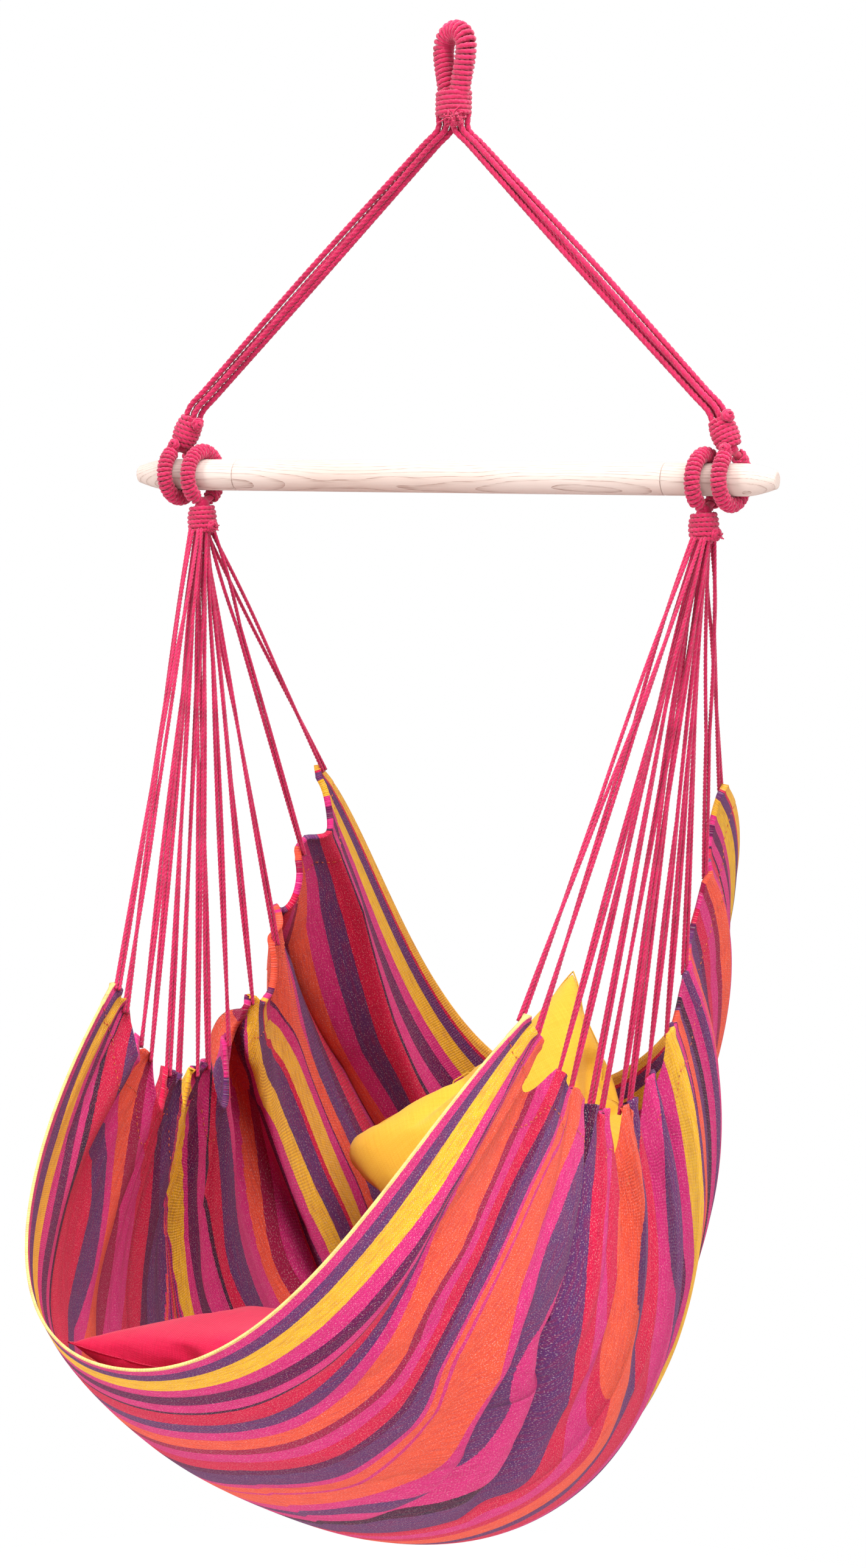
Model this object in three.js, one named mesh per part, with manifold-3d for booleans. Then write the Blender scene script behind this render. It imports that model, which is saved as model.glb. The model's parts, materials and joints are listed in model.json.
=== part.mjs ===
// Hammock chair: a striped cotton sling with two loose cushions, hung by two fans of cords from a
// wooden spreader bar, which hangs in a rope yoke with a whipped eye at its top.
// Millimetres, +Z up, X along the bar, -Y to the front. The origin is the inner crown of the eye,
// where a hook bears, so the whole chair hangs below it.
import * as THREE from "three";
import { mergeVertices } from "three/addons/utils/BufferGeometryUtils.js";
import Module from "manifold-3d";

const wasm = await Module();
wasm.setup();

// Shared clearances and the whipping cord
const touchGap = 0.3;
const cutOverrun = 5;
const whipRadius = 2.2;
const whipSides = 4;
const whipSteps = 6;

// Eye at the top
const eyeCoreRadius = 4.8;
const eyeOpeningHeight = 60;
const eyeOpeningWidth = 23;
const eyeThroatWidth = 17;
const eyeTurn = THREE.MathUtils.degToRad(-28);
const eyeWhipTurns = 15;
const eyeNeckRadius = 14.5;
const eyeNeckHeight = 29;
const eyeNeckTurns = 5;
const tailRadius = 5;
const tailLength = 20;

// Yoke: the strands that run from the eye's neck to the two upper loops
const yokeDrop = 496;
const strandRadius = 3.5;
const strandsPerSide = 4;
const strandSteps = 12;
const strandKnotShares = [0.08, 0.5, 0.92];

// Spreader bar, in three joined lengths
const barLength = 800;
const barRadius = 18.25;
const barTipRadius = 10.5;
const barTipRound = 3;
const barTaperLength = 36;
const barEndLength = 132;
const barTenonRadius = 8;
const barTenonLength = 40;
const barTenonFit = 0.3;
const barFacets = 24;

// Whipped loops round the bar, the upper pair outside the lower pair
const loopCoreRadius = 3;
const loopHoleRadius = 20;
const loopWhipTurns = 16;
const loopBareAngle = THREE.MathUtils.degToRad(36);
const loopSpacing = 31;
const loopInset = 85;
const neckRadius = 12.9;
const neckRootRadius = 5;
const neckShoulder = 12;
const neckWhipLength = 29;
const neckWhipTurns = 5;
const upperNeckLean = THREE.MathUtils.degToRad(20);

// Fans of cords between the lower loops and the sling
const cordRadius = 3;
const cordRowSpacing = 5.6;
const cordStepSpacing = 3.85;
const cordFacets = 8;
const hemShares = [0, 0.045, 0.13, 0.18, 0.265, 0.315, 0.405, 0.455, 0.55, 0.66, 0.77, 0.9, 1];

// Sling of cloth: half its width, its reach forward of the bar and its drop below the bar
const slingHalfWidth = 310;
const slingReach = 731;
const slingDrop = 1240;
const slingThickness = 3;
const foldDepth = 45;
const foldSwell = 22;
const deepSpanShare = 0.09;
const tabFullness = 0.6;
const foldColumns = 3;
const slingRows = 7;
const foldStartShare = 0.3;

// Control points from the hem to the middle line, as shares of half width, reach and drop
const slingShares = [
  [[0.78, -0.43, -0.458], [0.67, -0.743, -0.543], [0.59, -1, -0.715], [0, -1, -0.715]],
  [[0.89, -0.165, -0.64], [1.52, -0.27, -1.01], [0.8, -0.63, -0.863], [0, -0.63, -0.863]],
  [[0.855, 0.095, -0.58], [1.36, 0.24, -0.9], [0.42, 0.56, -1.333], [0, 0.56, -1.333]],
  [[0.845, 0.31, -0.284], [0.87, 0.545, -0.35], [0.58, 0.547, -0.606], [0, 0.547, -0.606]],
];

// Loose cushions: a sewn cover with a slit for its filling
const cushionWidth = 385;
const cushionThickness = 115;
const cushionPinch = 14;
const cushionCells = 8;
const coverThickness = 2.5;
const seamAllowance = 8;
const fillFit = 0.4;
const slitLength = 240;
const slitWidth = 3;
const slitInset = 60;
const restGap = 0.4;
const restSearchStep = 10;
const restSearchReach = 60;
const seatCushionBow = 26;
const seatCushionPlaceY = -312;
const seatCushionDrop = 975;
const seatCushionTilt = THREE.MathUtils.degToRad(-7);
const backCushionBow = 30;
const backCushionPlaceY = 265;
const backCushionDrop = 878;
const backCushionTilt = THREE.MathUtils.degToRad(70);
const backCushionTurn = THREE.MathUtils.degToRad(40);
const seatCushionLift = THREE.MathUtils.degToRad(10);
const backCushionLift = THREE.MathUtils.degToRad(45);

// Sizes that follow from those above
const whipFlat = Math.cos(Math.PI / whipSteps);
const whipPath = (core) => (core + touchGap + whipRadius) / whipFlat;
const whipReach = (core) => whipPath(core) + whipRadius;
const loopRadius = loopHoleRadius + whipReach(loopCoreRadius);
const loopShift = loopHoleRadius - barRadius - touchGap;
const neckEnd = neckShoulder + neckWhipLength;
const lowerLoopPlace = barLength / 2 - loopInset;
const upperLoopPlace = lowerLoopPlace + loopSpacing;

const colours = {
  rope: 0xd0305f,
  whipping: 0xc92a58,
  wood: 0xe8d6c0,
  cloth: 0xc8416e,
  seatCushion: 0xd21c42,
  backCushion: 0xf0bd45,
  filling: 0xf2f0ea,
};

const chair = new THREE.Group();

// Adds a named mesh with its own material to a group
function addMesh(group, name, geometry, color, roughness = 0.9) {
  const material = new THREE.MeshStandardMaterial({ color, roughness, metalness: 0 });
  const mesh = new THREE.Mesh(geometry, material);
  mesh.name = name;
  group.add(mesh);
  return mesh;
}

// A group placed in its parent
function addGroup(parent, x, y, z) {
  const group = new THREE.Group();
  group.position.set(x, y, z);
  parent.add(group);
  return group;
}

// A closed geometry as a manifold solid
function toSolid(geometry) {
  const bare = geometry.clone();
  bare.deleteAttribute("normal");
  bare.deleteAttribute("uv");
  const merged = mergeVertices(bare);
  return new wasm.Manifold(
    new wasm.Mesh({
      numProp: 3,
      vertProperties: merged.attributes.position.array,
      triVerts: new Uint32Array(merged.index.array),
    }),
  );
}

// A manifold solid as a geometry
function toGeometry(solid) {
  const mesh = solid.getMesh();
  const geometry = new THREE.BufferGeometry();
  geometry.setAttribute("position", new THREE.BufferAttribute(mesh.vertProperties, 3));
  geometry.setIndex(new THREE.BufferAttribute(mesh.triVerts, 1));
  geometry.computeVertexNormals();
  return geometry;
}

// A geometry from a list of points and a list of triangles
function fromTriangles(points, triangles) {
  const geometry = new THREE.BufferGeometry();
  const numbers = points.flatMap((p) => [p.x, p.y, p.z]);
  geometry.setAttribute("position", new THREE.Float32BufferAttribute(numbers, 3));
  geometry.setIndex(triangles);
  geometry.computeVertexNormals();
  return geometry;
}

// A closed tube through points, its section turned so that one corner faces out
function tubeThrough(points, outwards, radius, sides) {
  const ring = (i) => {
    const before = points[Math.max(i - 1, 0)];
    const after = points[Math.min(i + 1, points.length - 1)];
    const along = after.clone().sub(before).normalize();
    const out = outwards[i].clone().addScaledVector(along, -outwards[i].dot(along)).normalize();
    const side = along.clone().cross(out);
    return Array.from({ length: sides }, (_, k) => {
      const angle = (2 * Math.PI * k) / sides;
      const corner = points[i].clone().addScaledVector(out, radius * Math.cos(angle));
      return corner.addScaledVector(side, radius * Math.sin(angle));
    });
  };
  const corners = points.flatMap((_, i) => ring(i));
  const triangles = [];
  for (let i = 0; i < points.length - 1; i++) {
    for (let k = 0; k < sides; k++) {
      const a = i * sides + k;
      const b = i * sides + ((k + 1) % sides);
      triangles.push(a, b, b + sides, a, b + sides, a + sides);
    }
  }
  const last = (points.length - 1) * sides;
  for (let k = 1; k < sides - 1; k++) {
    triangles.push(0, k + 1, k, last, last + k, last + k + 1);
  }
  return fromTriangles(corners, triangles);
}

// The least gap of a winding to itself, measured on points along its middle line
function leastGap(points, radius, steps) {
  const fine = [];
  for (let i = 0; i < points.length - 1; i++) {
    for (let k = 0; k < steps; k++) {
      fine.push(points[i].clone().lerp(points[i + 1], k / steps));
    }
  }
  const apart = Math.floor((whipSteps * steps) / 2);
  let least = Infinity;
  for (let i = 0; i < fine.length; i++) {
    for (let k = i + apart; k < fine.length; k++) {
      least = Math.min(least, fine[i].distanceTo(fine[k]));
    }
  }
  return least - 2 * radius;
}

// A whipping wound round a path: place(t) gives a point of the path and two vectors across it
function whipping(label, place, coreRadius, turns) {
  const count = turns * whipSteps;
  const reach = whipPath(coreRadius);
  const points = [];
  const outwards = [];
  for (let i = 0; i <= count; i++) {
    const angle = (2 * Math.PI * (i - count / 2)) / whipSteps;
    const { centre, inward, across } = place(i / count);
    const out = inward.clone().multiplyScalar(Math.cos(angle));
    out.addScaledVector(across, Math.sin(angle));
    points.push(centre.clone().addScaledVector(out, reach));
    outwards.push(out);
  }
  const straight = (from, towards) => {
    const step = from.clone().sub(towards).setLength(2 * whipRadius);
    return from.clone().add(step);
  };
  points.unshift(straight(points[0], points[1]));
  outwards.unshift(outwards[0]);
  points.push(straight(points[points.length - 1], points[points.length - 2]));
  outwards.push(outwards[outwards.length - 1]);
  console.log(label, "least gap", leastGap(points, whipRadius, whipSides).toFixed(2), "mm");
  return tubeThrough(points, outwards, whipRadius, whipSides);
}

// A whipping round a straight stretch of Z between two heights
function neckWhipping(label, coreRadius, from, to, turns) {
  const low = from + whipRadius;
  const high = to - whipRadius;
  const place = (t) => ({
    centre: new THREE.Vector3(0, 0, low + (high - low) * t),
    inward: new THREE.Vector3(0, -1, 0),
    across: new THREE.Vector3(1, 0, 0),
  });
  return whipping(label, place, coreRadius, turns);
}

// Eye: one rope bent to a loop whose ends run down into a neck
const suspension = addGroup(chair, 0, 0, 0);
const eye = addGroup(suspension, 0, 0, 0);
eye.rotation.z = eyeTurn;
const eyeReach = whipReach(eyeCoreRadius);
const eyeArch = eyeOpeningWidth / 2 + eyeReach;
const eyeNeckTop = -eyeOpeningHeight;
const eyeNeckBottom = eyeNeckTop - eyeNeckHeight;
const eyeNeckMiddle = (eyeNeckTop + eyeNeckBottom) / 2;
const eyeThroat = eyeNeckTop - eyeCoreRadius;

// The eye's middle line, from one throat over an arch to the other
const archQuarter = 3;
const eyeLine = [new THREE.Vector3(-eyeThroatWidth / 2, 0, eyeThroat)];
for (let i = -archQuarter; i <= archQuarter; i++) {
  const angle = (Math.PI / 2) * (i / archQuarter);
  const height = eyeReach - eyeArch * (1 - Math.cos(angle));
  eyeLine.push(new THREE.Vector3(eyeArch * Math.sin(angle), 0, height));
}
eyeLine.push(new THREE.Vector3(eyeThroatWidth / 2, 0, eyeThroat));
const eyeCurve = new THREE.CatmullRomCurve3(eyeLine, false, "centripetal");

// The eye's core is the rope loop with its ends sunk in the neck, joined to it as one solid
function eyeCore() {
  const count = 26;
  const points = [new THREE.Vector3(-eyeThroatWidth / 2, 0, eyeNeckMiddle)];
  for (let i = 0; i <= count; i++) {
    points.push(eyeCurve.getPointAt(i / count));
  }
  points.push(new THREE.Vector3(eyeThroatWidth / 2, 0, eyeNeckMiddle));
  const outwards = points.map(() => new THREE.Vector3(0, 1, 0));
  const loop = tubeThrough(points, outwards, eyeCoreRadius, cordFacets);
  const neck = new THREE.CylinderGeometry(eyeNeckRadius, eyeNeckRadius, eyeNeckHeight, barFacets);
  neck.rotateX(Math.PI / 2);
  neck.translate(0, 0, eyeNeckMiddle);
  return toGeometry(toSolid(loop).add(toSolid(neck)));
}

// The whipping covers the loop down to where its two legs come too close for it
function eyeWhipping() {
  const startShare = 0.08;
  const place = (t) => {
    const at = startShare + (1 - 2 * startShare) * t;
    const centre = eyeCurve.getPointAt(at);
    const along = eyeCurve.getTangentAt(at);
    const across = new THREE.Vector3(0, 1, 0);
    return { centre, inward: along.clone().cross(across).negate(), across };
  };
  return whipping("eye whipping", place, eyeCoreRadius, eyeWhipTurns);
}

addMesh(eye, "eye_rope_core", eyeCore(), colours.rope);
addMesh(eye, "eye_whipping", eyeWhipping(), colours.whipping);
addMesh(
  eye,
  "eye_neck_whipping",
  neckWhipping("eye neck whipping", eyeNeckRadius, eyeNeckBottom, eyeNeckTop, eyeNeckTurns),
  colours.whipping,
);

// Short knotted tail of the whipping, in front of the neck's lower end
const tailProfileShares = [[0, 0], [0.9, 0.06], [1, 0.3], [0.7, 0.5], [0.95, 0.8], [0.6, 1], [0, 1]];
const tailProfile = tailProfileShares.map(
  ([r, h]) => new THREE.Vector2(r * tailRadius, -(1 - h) * tailLength),
);
const tail = new THREE.LatheGeometry(tailProfile, cordFacets);
tail.rotateX(Math.PI / 2);
const tailPlace = eyeNeckRadius - tailRadius / 2;
tail.translate(0, -tailPlace, eyeNeckBottom - touchGap);
addMesh(suspension, "eye_tail_knot", tail, colours.rope);

// Loop and neck of one whipped end, the neck up the local Z axis and leaning by an angle in X
function loopCore(lean) {
  const ring = new THREE.TorusGeometry(loopRadius, loopCoreRadius, cordFacets, barFacets);
  ring.rotateY(Math.PI / 2);
  const profile = [
    new THREE.Vector2(0, -loopCoreRadius / 2),
    new THREE.Vector2(neckRootRadius, -loopCoreRadius / 2),
    new THREE.Vector2(neckRadius, neckShoulder),
    new THREE.Vector2(neckRadius, neckEnd),
    new THREE.Vector2(0, neckEnd),
  ];
  const neck = new THREE.LatheGeometry(profile, barFacets);
  neck.rotateX(Math.PI / 2);
  neck.rotateY(lean);
  neck.translate(0, 0, loopRadius);
  return toGeometry(toSolid(ring).add(toSolid(neck)));
}

// Whipping round a loop, open where the neck leaves it at the top
function loopWhipping(label) {
  const place = (t) => {
    const angle = loopBareAngle + (2 * Math.PI - 2 * loopBareAngle) * t;
    const outward = new THREE.Vector3(0, Math.sin(angle), Math.cos(angle));
    return {
      centre: outward.clone().multiplyScalar(loopRadius),
      inward: outward.clone().negate(),
      across: new THREE.Vector3(1, 0, 0),
    };
  };
  return whipping(label, place, loopCoreRadius, loopWhipTurns);
}

// One whipped end: the core, the whipping of its loop and the whipping of its neck
function addWhippedEnd(group, name, lean) {
  addMesh(group, name + "_loop_core", loopCore(lean), colours.rope);
  addMesh(group, name + "_loop_whipping", loopWhipping(name + " loop whipping"), colours.whipping);
  const label = name + " neck whipping";
  const wound = neckWhipping(label, neckRadius, neckShoulder, neckEnd, neckWhipTurns);
  wound.rotateY(lean);
  wound.translate(0, 0, loopRadius);
  addMesh(group, name + "_neck_whipping", wound, colours.whipping);
}

// Where a neck's flat end lies, in the frame of its loop
const neckEndPoint = (lean) =>
  new THREE.Vector3(neckEnd * Math.sin(lean), 0, loopRadius + neckEnd * Math.cos(lean));

// Yoke: the upper loops and the strands that rise from them to the eye
const sides = [
  { name: "left", sign: -1 },
  { name: "right", sign: 1 },
];
for (const { name, sign } of sides) {
  const lean = -sign * upperNeckLean;
  const loop = addGroup(suspension, sign * upperLoopPlace, 0, loopShift - yokeDrop);
  addWhippedEnd(loop, "upper_" + name, lean);
  const foot = neckEndPoint(lean).add(loop.position);
  const footAxis = new THREE.Vector3(Math.sin(lean), 0, Math.cos(lean));
  const footSide = new THREE.Vector3(Math.cos(lean), 0, -Math.sin(lean));
  const strandGap = 2 * strandRadius + touchGap;
  for (let i = 0; i < strandsPerSide; i++) {
    const row = i % 2 === 0 ? -0.5 : 0.5;
    const column = i < 2 ? -0.5 : 0.5;
    const y = row * strandGap;
    const topX = sign * (strandGap * 1.45 * (column * sign + 1) - strandRadius / 2);
    const low = foot.clone().addScaledVector(footSide, column * strandGap * 1.25);
    low.addScaledVector(footAxis, touchGap);
    low.y = y;
    const bend = 3 * strandRadius;
    const top = new THREE.Vector3(topX, y, eyeNeckBottom - touchGap);
    const lowBend = low.clone().addScaledVector(footAxis, bend);
    const topBend = top.clone().add(new THREE.Vector3(0, 0, -bend));
    const knots = [low, lowBend];
    for (const share of strandKnotShares) {
      knots.push(lowBend.clone().lerp(topBend, share));
    }
    knots.push(topBend, top);
    const route = new THREE.CatmullRomCurve3(knots, false, "centripetal");
    const section = new THREE.Shape();
    section.absarc(0, 0, strandRadius, 0, 2 * Math.PI);
    const strand = new THREE.ExtrudeGeometry(section, {
      steps: strandSteps,
      curveSegments: cordFacets,
      extrudePath: route,
    });
    addMesh(suspension, "yoke_strand_" + name + "_" + (i + 1), strand, colours.rope);
  }
}

// Spreader bar: a middle length with a bore in each end and two tapered ends with tenons
const bar = addGroup(chair, 0, 0, -yokeDrop);
const barMiddleHalf = barLength / 2 - barEndLength;
const boreRadius = barTenonRadius + barTenonFit;
const boreDepth = barTenonLength + barTenonFit;

// A profile of (radius, place along the bar) turned about the bar's X axis
function turned(profile) {
  const geometry = new THREE.LatheGeometry(
    profile.map(([radius, place]) => new THREE.Vector2(radius, place)),
    barFacets,
  );
  geometry.rotateZ(-Math.PI / 2);
  return geometry;
}

const middleProfile = [
  [0, boreDepth - barMiddleHalf],
  [boreRadius, boreDepth - barMiddleHalf],
  [boreRadius, -barMiddleHalf],
  [barRadius, -barMiddleHalf],
  [barRadius, barMiddleHalf],
  [boreRadius, barMiddleHalf],
  [boreRadius, barMiddleHalf - boreDepth],
  [0, barMiddleHalf - boreDepth],
];
addMesh(bar, "bar_middle", turned(middleProfile), colours.wood, 0.6);
const shoulderPlace = barMiddleHalf + touchGap;
const endProfile = [
  [0, barMiddleHalf - barTenonLength],
  [barTenonRadius, barMiddleHalf - barTenonLength],
  [barTenonRadius, shoulderPlace],
  [barRadius, shoulderPlace],
  [barRadius, barLength / 2 - barTaperLength],
  [barTipRadius, barLength / 2 - barTipRound],
  [barTipRadius - barTipRound, barLength / 2],
  [0, barLength / 2],
];
for (const { name, sign } of sides) {
  const end = turned(endProfile);
  if (sign < 0) {
    end.rotateZ(Math.PI);
  }
  addMesh(bar, "bar_end_" + name, end, colours.wood, 0.6);
}

// Seat: everything that hangs from the bar's lower loops, measured from the bar's axis
const seat = addGroup(chair, 0, 0, -yokeDrop);
for (const { name, sign } of sides) {
  const loop = addGroup(seat, sign * lowerLoopPlace, 0, -loopShift);
  loop.rotation.x = Math.PI;
  addWhippedEnd(loop, "lower_" + name, 0);
}

// A cubic's weights at t
function weights(t) {
  const s = 1 - t;
  return [s * s * s, 3 * s * s * t, 3 * s * t * t, t * t * t];
}

// A point of the smooth sling: t from the hem (0) to the middle (1), v from front to back edge
function slingPoint(t, v, sign) {
  const across = weights(t);
  const along = weights(v);
  const point = new THREE.Vector3();
  slingShares.forEach((row, i) =>
    row.forEach(([width, reach, drop], k) => {
      const weight = along[i] * across[k];
      point.x += weight * sign * width * slingHalfWidth;
      point.y += weight * reach * slingReach;
      point.z += weight * drop * slingDrop;
    }),
  );
  return point;
}

// The columns of the sling's grid: each span between two cords has the same few. A wide span
// hangs in a deep fold towards the sitter, and a narrow one makes a tab that stands out a little
const slingColumns = [];
hemShares.slice(0, -1).forEach((from, span) => {
  const width = hemShares[span + 1] - from;
  const fullness = Math.min(1, width / deepSpanShare);
  const turn = fullness > tabFullness ? -1 : 1;
  for (let k = 0; k < foldColumns; k++) {
    const within = k / foldColumns;
    const wave = Math.sin(Math.PI * within) * fullness * fullness;
    slingColumns.push({ v: from + within * width, wave, turn });
  }
});
slingColumns.push({ v: 1, wave: 0, turn: 1 });

// A point of the sling with its scalloped hem and its folds, which fade out towards the middle
function foldedPoint(column, rowShare, sign) {
  const { v, wave, turn } = column;
  const length = slingPoint(0, v, sign).distanceTo(slingPoint(0.5, v, sign)) * 2;
  const start = (foldDepth * wave) / length;
  const t = start + (1 - start) * rowShare;
  const point = slingPoint(t, v, sign);
  const fade = Math.max(0, 1 - rowShare / (1 - foldStartShare));
  const step = 0.01;
  const byT = slingPoint(t + step, v, sign).sub(slingPoint(t - step, v, sign));
  const byV = slingPoint(t, v + step, sign).sub(slingPoint(t, v - step, sign));
  const out = byT.cross(byV).multiplyScalar(sign).normalize();
  return point.addScaledVector(out, foldSwell * wave * turn * fade * fade);
}

// Middle surface of the sling as rows across X, each with one point for each column
const slingGrid = [];
for (let row = 0; row <= 2 * slingRows; row++) {
  const sign = row < slingRows ? -1 : 1;
  const rowShare = row < slingRows ? row / slingRows : (2 * slingRows - row) / slingRows;
  slingGrid.push(slingColumns.map((column) => foldedPoint(column, rowShare, sign)));
}

// The normal of a grid of points at one of them
function gridNormal(grid, i, k) {
  const clamp = (value, top) => Math.min(Math.max(value, 0), top);
  const rows = grid.length - 1;
  const columns = grid[0].length - 1;
  const down = grid[clamp(i + 1, rows)][k].clone().sub(grid[clamp(i - 1, rows)][k]);
  const along = grid[i][clamp(k + 1, columns)].clone().sub(grid[i][clamp(k - 1, columns)]);
  return down.cross(along).normalize();
}

// A sheet of some thickness about a grid of points, closed round its edge
function sheet(grid, thickness) {
  const columns = grid[0].length;
  const face = (side) =>
    grid.flatMap((row, i) =>
      row.map((p, k) => p.clone().addScaledVector(gridNormal(grid, i, k), (side * thickness) / 2)),
    );
  const points = [...face(1), ...face(-1)];
  const below = grid.length * columns;
  const triangles = [];
  const quad = (a, b, c, d) => triangles.push(a, b, c, a, c, d);
  for (let i = 0; i < grid.length - 1; i++) {
    for (let k = 0; k < columns - 1; k++) {
      const a = i * columns + k;
      quad(a, a + columns, a + columns + 1, a + 1);
      quad(below + a, below + a + 1, below + a + columns + 1, below + a + columns);
    }
  }
  const edge = (a, b) => quad(a, b, below + b, below + a);
  const lastRow = (grid.length - 1) * columns;
  for (let k = 0; k < columns - 1; k++) {
    edge(k, k + 1);
    edge(lastRow + k + 1, lastRow + k);
  }
  for (let i = 0; i < grid.length - 1; i++) {
    edge((i + 1) * columns, i * columns);
    edge((i + 1) * columns - 1, (i + 2) * columns - 1);
  }
  return fromTriangles(points, triangles);
}

const slingGeometry = sheet(slingGrid, slingThickness);
const sling = addMesh(seat, "sling_cloth", slingGeometry, colours.cloth, 0.95);

// One cord of a fan, from under its neck to its point of the hem, where it stops short
// of the cloth's edge by a gap that allows for the slope of the edge there
function fanCord(start, row, column) {
  const hem = slingGrid[row][column];
  const along = hem.clone().sub(start).normalize();
  const normal = gridNormal(slingGrid, row, column);
  let rise = 0;
  for (const beside of [column - 1, column + 1]) {
    const point = slingGrid[row][beside];
    if (point) {
      const edge = point.clone().sub(hem).normalize();
      const climb = Math.max(0, -edge.dot(along));
      rise = Math.max(rise, (cordRadius * climb) / Math.sqrt(1 - climb * climb));
    }
  }
  const short = touchGap + (slingThickness / 2) * Math.abs(normal.dot(along)) + rise;
  const tilt = Math.sqrt(1 - along.z * along.z);
  const from = start.clone();
  from.z -= touchGap + cordRadius * tilt;
  const to = hem.clone().addScaledVector(along, -short);
  const length = from.distanceTo(to);
  const cord = new THREE.CylinderGeometry(cordRadius, cordRadius, length, cordFacets);
  const up = new THREE.Vector3(0, 1, 0);
  cord.applyQuaternion(new THREE.Quaternion().setFromUnitVectors(up, from.clone().sub(to).normalize()));
  cord.translate((from.x + to.x) / 2, (from.y + to.y) / 2, (from.z + to.z) / 2);
  return cord;
}

// Fans: cords leave the neck in three rows, in the order in which they meet the hem
const neckFace = -loopShift - loopRadius - neckEnd;
for (const { name, sign } of sides) {
  const row = sign < 0 ? 0 : 2 * slingRows;
  hemShares.forEach((_, i) => {
    const middle = (hemShares.length - 1) / 2;
    const slot = Math.round(((i - middle) * 2) / 3);
    const place = [0, -1, 1][(i + 3) % 3];
    const start = new THREE.Vector3(
      sign * lowerLoopPlace + place * cordRowSpacing,
      slot * cordStepSpacing,
      neckFace,
    );
    const cord = fanCord(start, row, i * foldColumns);
    addMesh(seat, "fan_cord_" + name + "_" + String(i + 1).padStart(2, "0"), cord, colours.rope);
  });
}

// A cushion's skin: crowned above and below, its sides drawn in between the corners, and bowed
// up at both sides of a line through its centre, which lies turned by an angle
function cushionSkin(width, thickness, bow, turn) {
  const cells = cushionCells;
  const crownPower = 0.4;
  const count = cells + 1;
  const points = [];
  const index = (i, k, side) => {
    const edge = i === 0 || k === 0 || i === cells || k === cells;
    return edge || side > 0 ? i * count + k : count * count + i * count + k;
  };
  for (const side of [1, -1]) {
    for (let i = 0; i <= cells; i++) {
      for (let k = 0; k <= cells; k++) {
        const s = Math.sin((Math.PI / 2) * ((2 * i) / cells - 1));
        const t = Math.sin((Math.PI / 2) * ((2 * k) / cells - 1));
        const x = s * (width / 2 - cushionPinch * (1 - t * t));
        const y = t * (width / 2 - cushionPinch * (1 - s * s));
        const crown = Math.pow(Math.max(0, (1 - s * s) * (1 - t * t)), crownPower);
        const aside = (2 * (x * Math.cos(turn) - y * Math.sin(turn))) / cushionWidth;
        const z = (side * thickness * crown) / 2 + bow * aside * aside;
        points.push(new THREE.Vector3(x, y, z));
      }
    }
  }
  const triangles = [];
  for (let i = 0; i < cells; i++) {
    for (let k = 0; k < cells; k++) {
      for (const side of [1, -1]) {
        const a = index(i, k, side);
        const b = index(i + 1, k, side);
        const c = index(i + 1, k + 1, side);
        const d = index(i, k + 1, side);
        const split = (i < cells / 2) === (k < cells / 2);
        const pair = split ? [a, b, c, a, c, d] : [a, b, d, b, c, d];
        if (side < 0) {
          pair.reverse();
        }
        triangles.push(...pair);
      }
    }
  }
  const used = [...new Set(triangles)];
  const place = new Map(used.map((old, i) => [old, i]));
  return fromTriangles(
    used.map((old) => points[old]),
    triangles.map((old) => place.get(old)),
  );
}

// How far a solid can move along a direction before its least gap to another is the rest gap
function travelToRest(moving, fixed, direction) {
  const gapAt = (travel) => {
    const step = direction.clone().multiplyScalar(travel);
    return moving.translate([step.x, step.y, step.z]).minGap(fixed, 2 * restGap);
  };
  let clear = 0;
  while (gapAt(clear + restSearchStep) > restGap) {
    clear += restSearchStep;
  }
  let met = clear + restSearchStep;
  while (met - clear > restGap / 20) {
    const middle = (clear + met) / 2;
    if (gapAt(middle) > restGap) {
      clear = middle;
    } else {
      met = middle;
    }
  }
  return clear;
}

// The way a cushion lifts off the sling, up and forward by an angle
const liftWay = (angle) => new THREE.Vector3(0, -Math.sin(angle), Math.cos(angle));

// A cushion: a cover with a slit, and its filling. It starts above its place and comes down
// along its slide until it rests on the sling
function addCushion(name, colour, rotation, bow, place, slide) {
  const start = place.clone().addScaledVector(slide, restSearchReach);
  const skin = cushionSkin(cushionWidth, cushionThickness, bow, rotation.z);
  const innerWidth = cushionWidth - 2 * seamAllowance;
  const innerThickness = cushionThickness - 2 * coverThickness;
  const lining = cushionSkin(innerWidth, innerThickness, bow, rotation.z);
  const slit = new THREE.BoxGeometry(slitLength, slitWidth, cushionThickness / 2 + cutOverrun);
  slit.translate(0, cushionWidth / 2 - slitInset, -(cushionThickness / 2 + cutOverrun) / 2);
  const cover = toGeometry(toSolid(skin).subtract(toSolid(lining)).subtract(toSolid(slit)));
  const fillWidth = innerWidth - 4 * fillFit;
  const fill = cushionSkin(fillWidth, innerThickness - 4 * fillFit, bow, rotation.z);
  const placed = skin.clone();
  const turn = new THREE.Matrix4().makeRotationFromEuler(rotation);
  placed.applyMatrix4(turn);
  placed.translate(start.x, start.y, start.z);
  const down = slide.clone().negate();
  const travel = travelToRest(toSolid(placed), toSolid(slingGeometry), down);
  const rest = start.clone().addScaledVector(down, travel);
  console.log(name, "rests", (restSearchReach - travel).toFixed(1), "mm above its place");
  const group = addGroup(seat, rest.x, rest.y, rest.z);
  group.setRotationFromEuler(rotation);
  addMesh(group, name + "_cover", cover, colour, 0.85);
  addMesh(group, name + "_filling", fill, colours.filling, 0.95);
}

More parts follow.
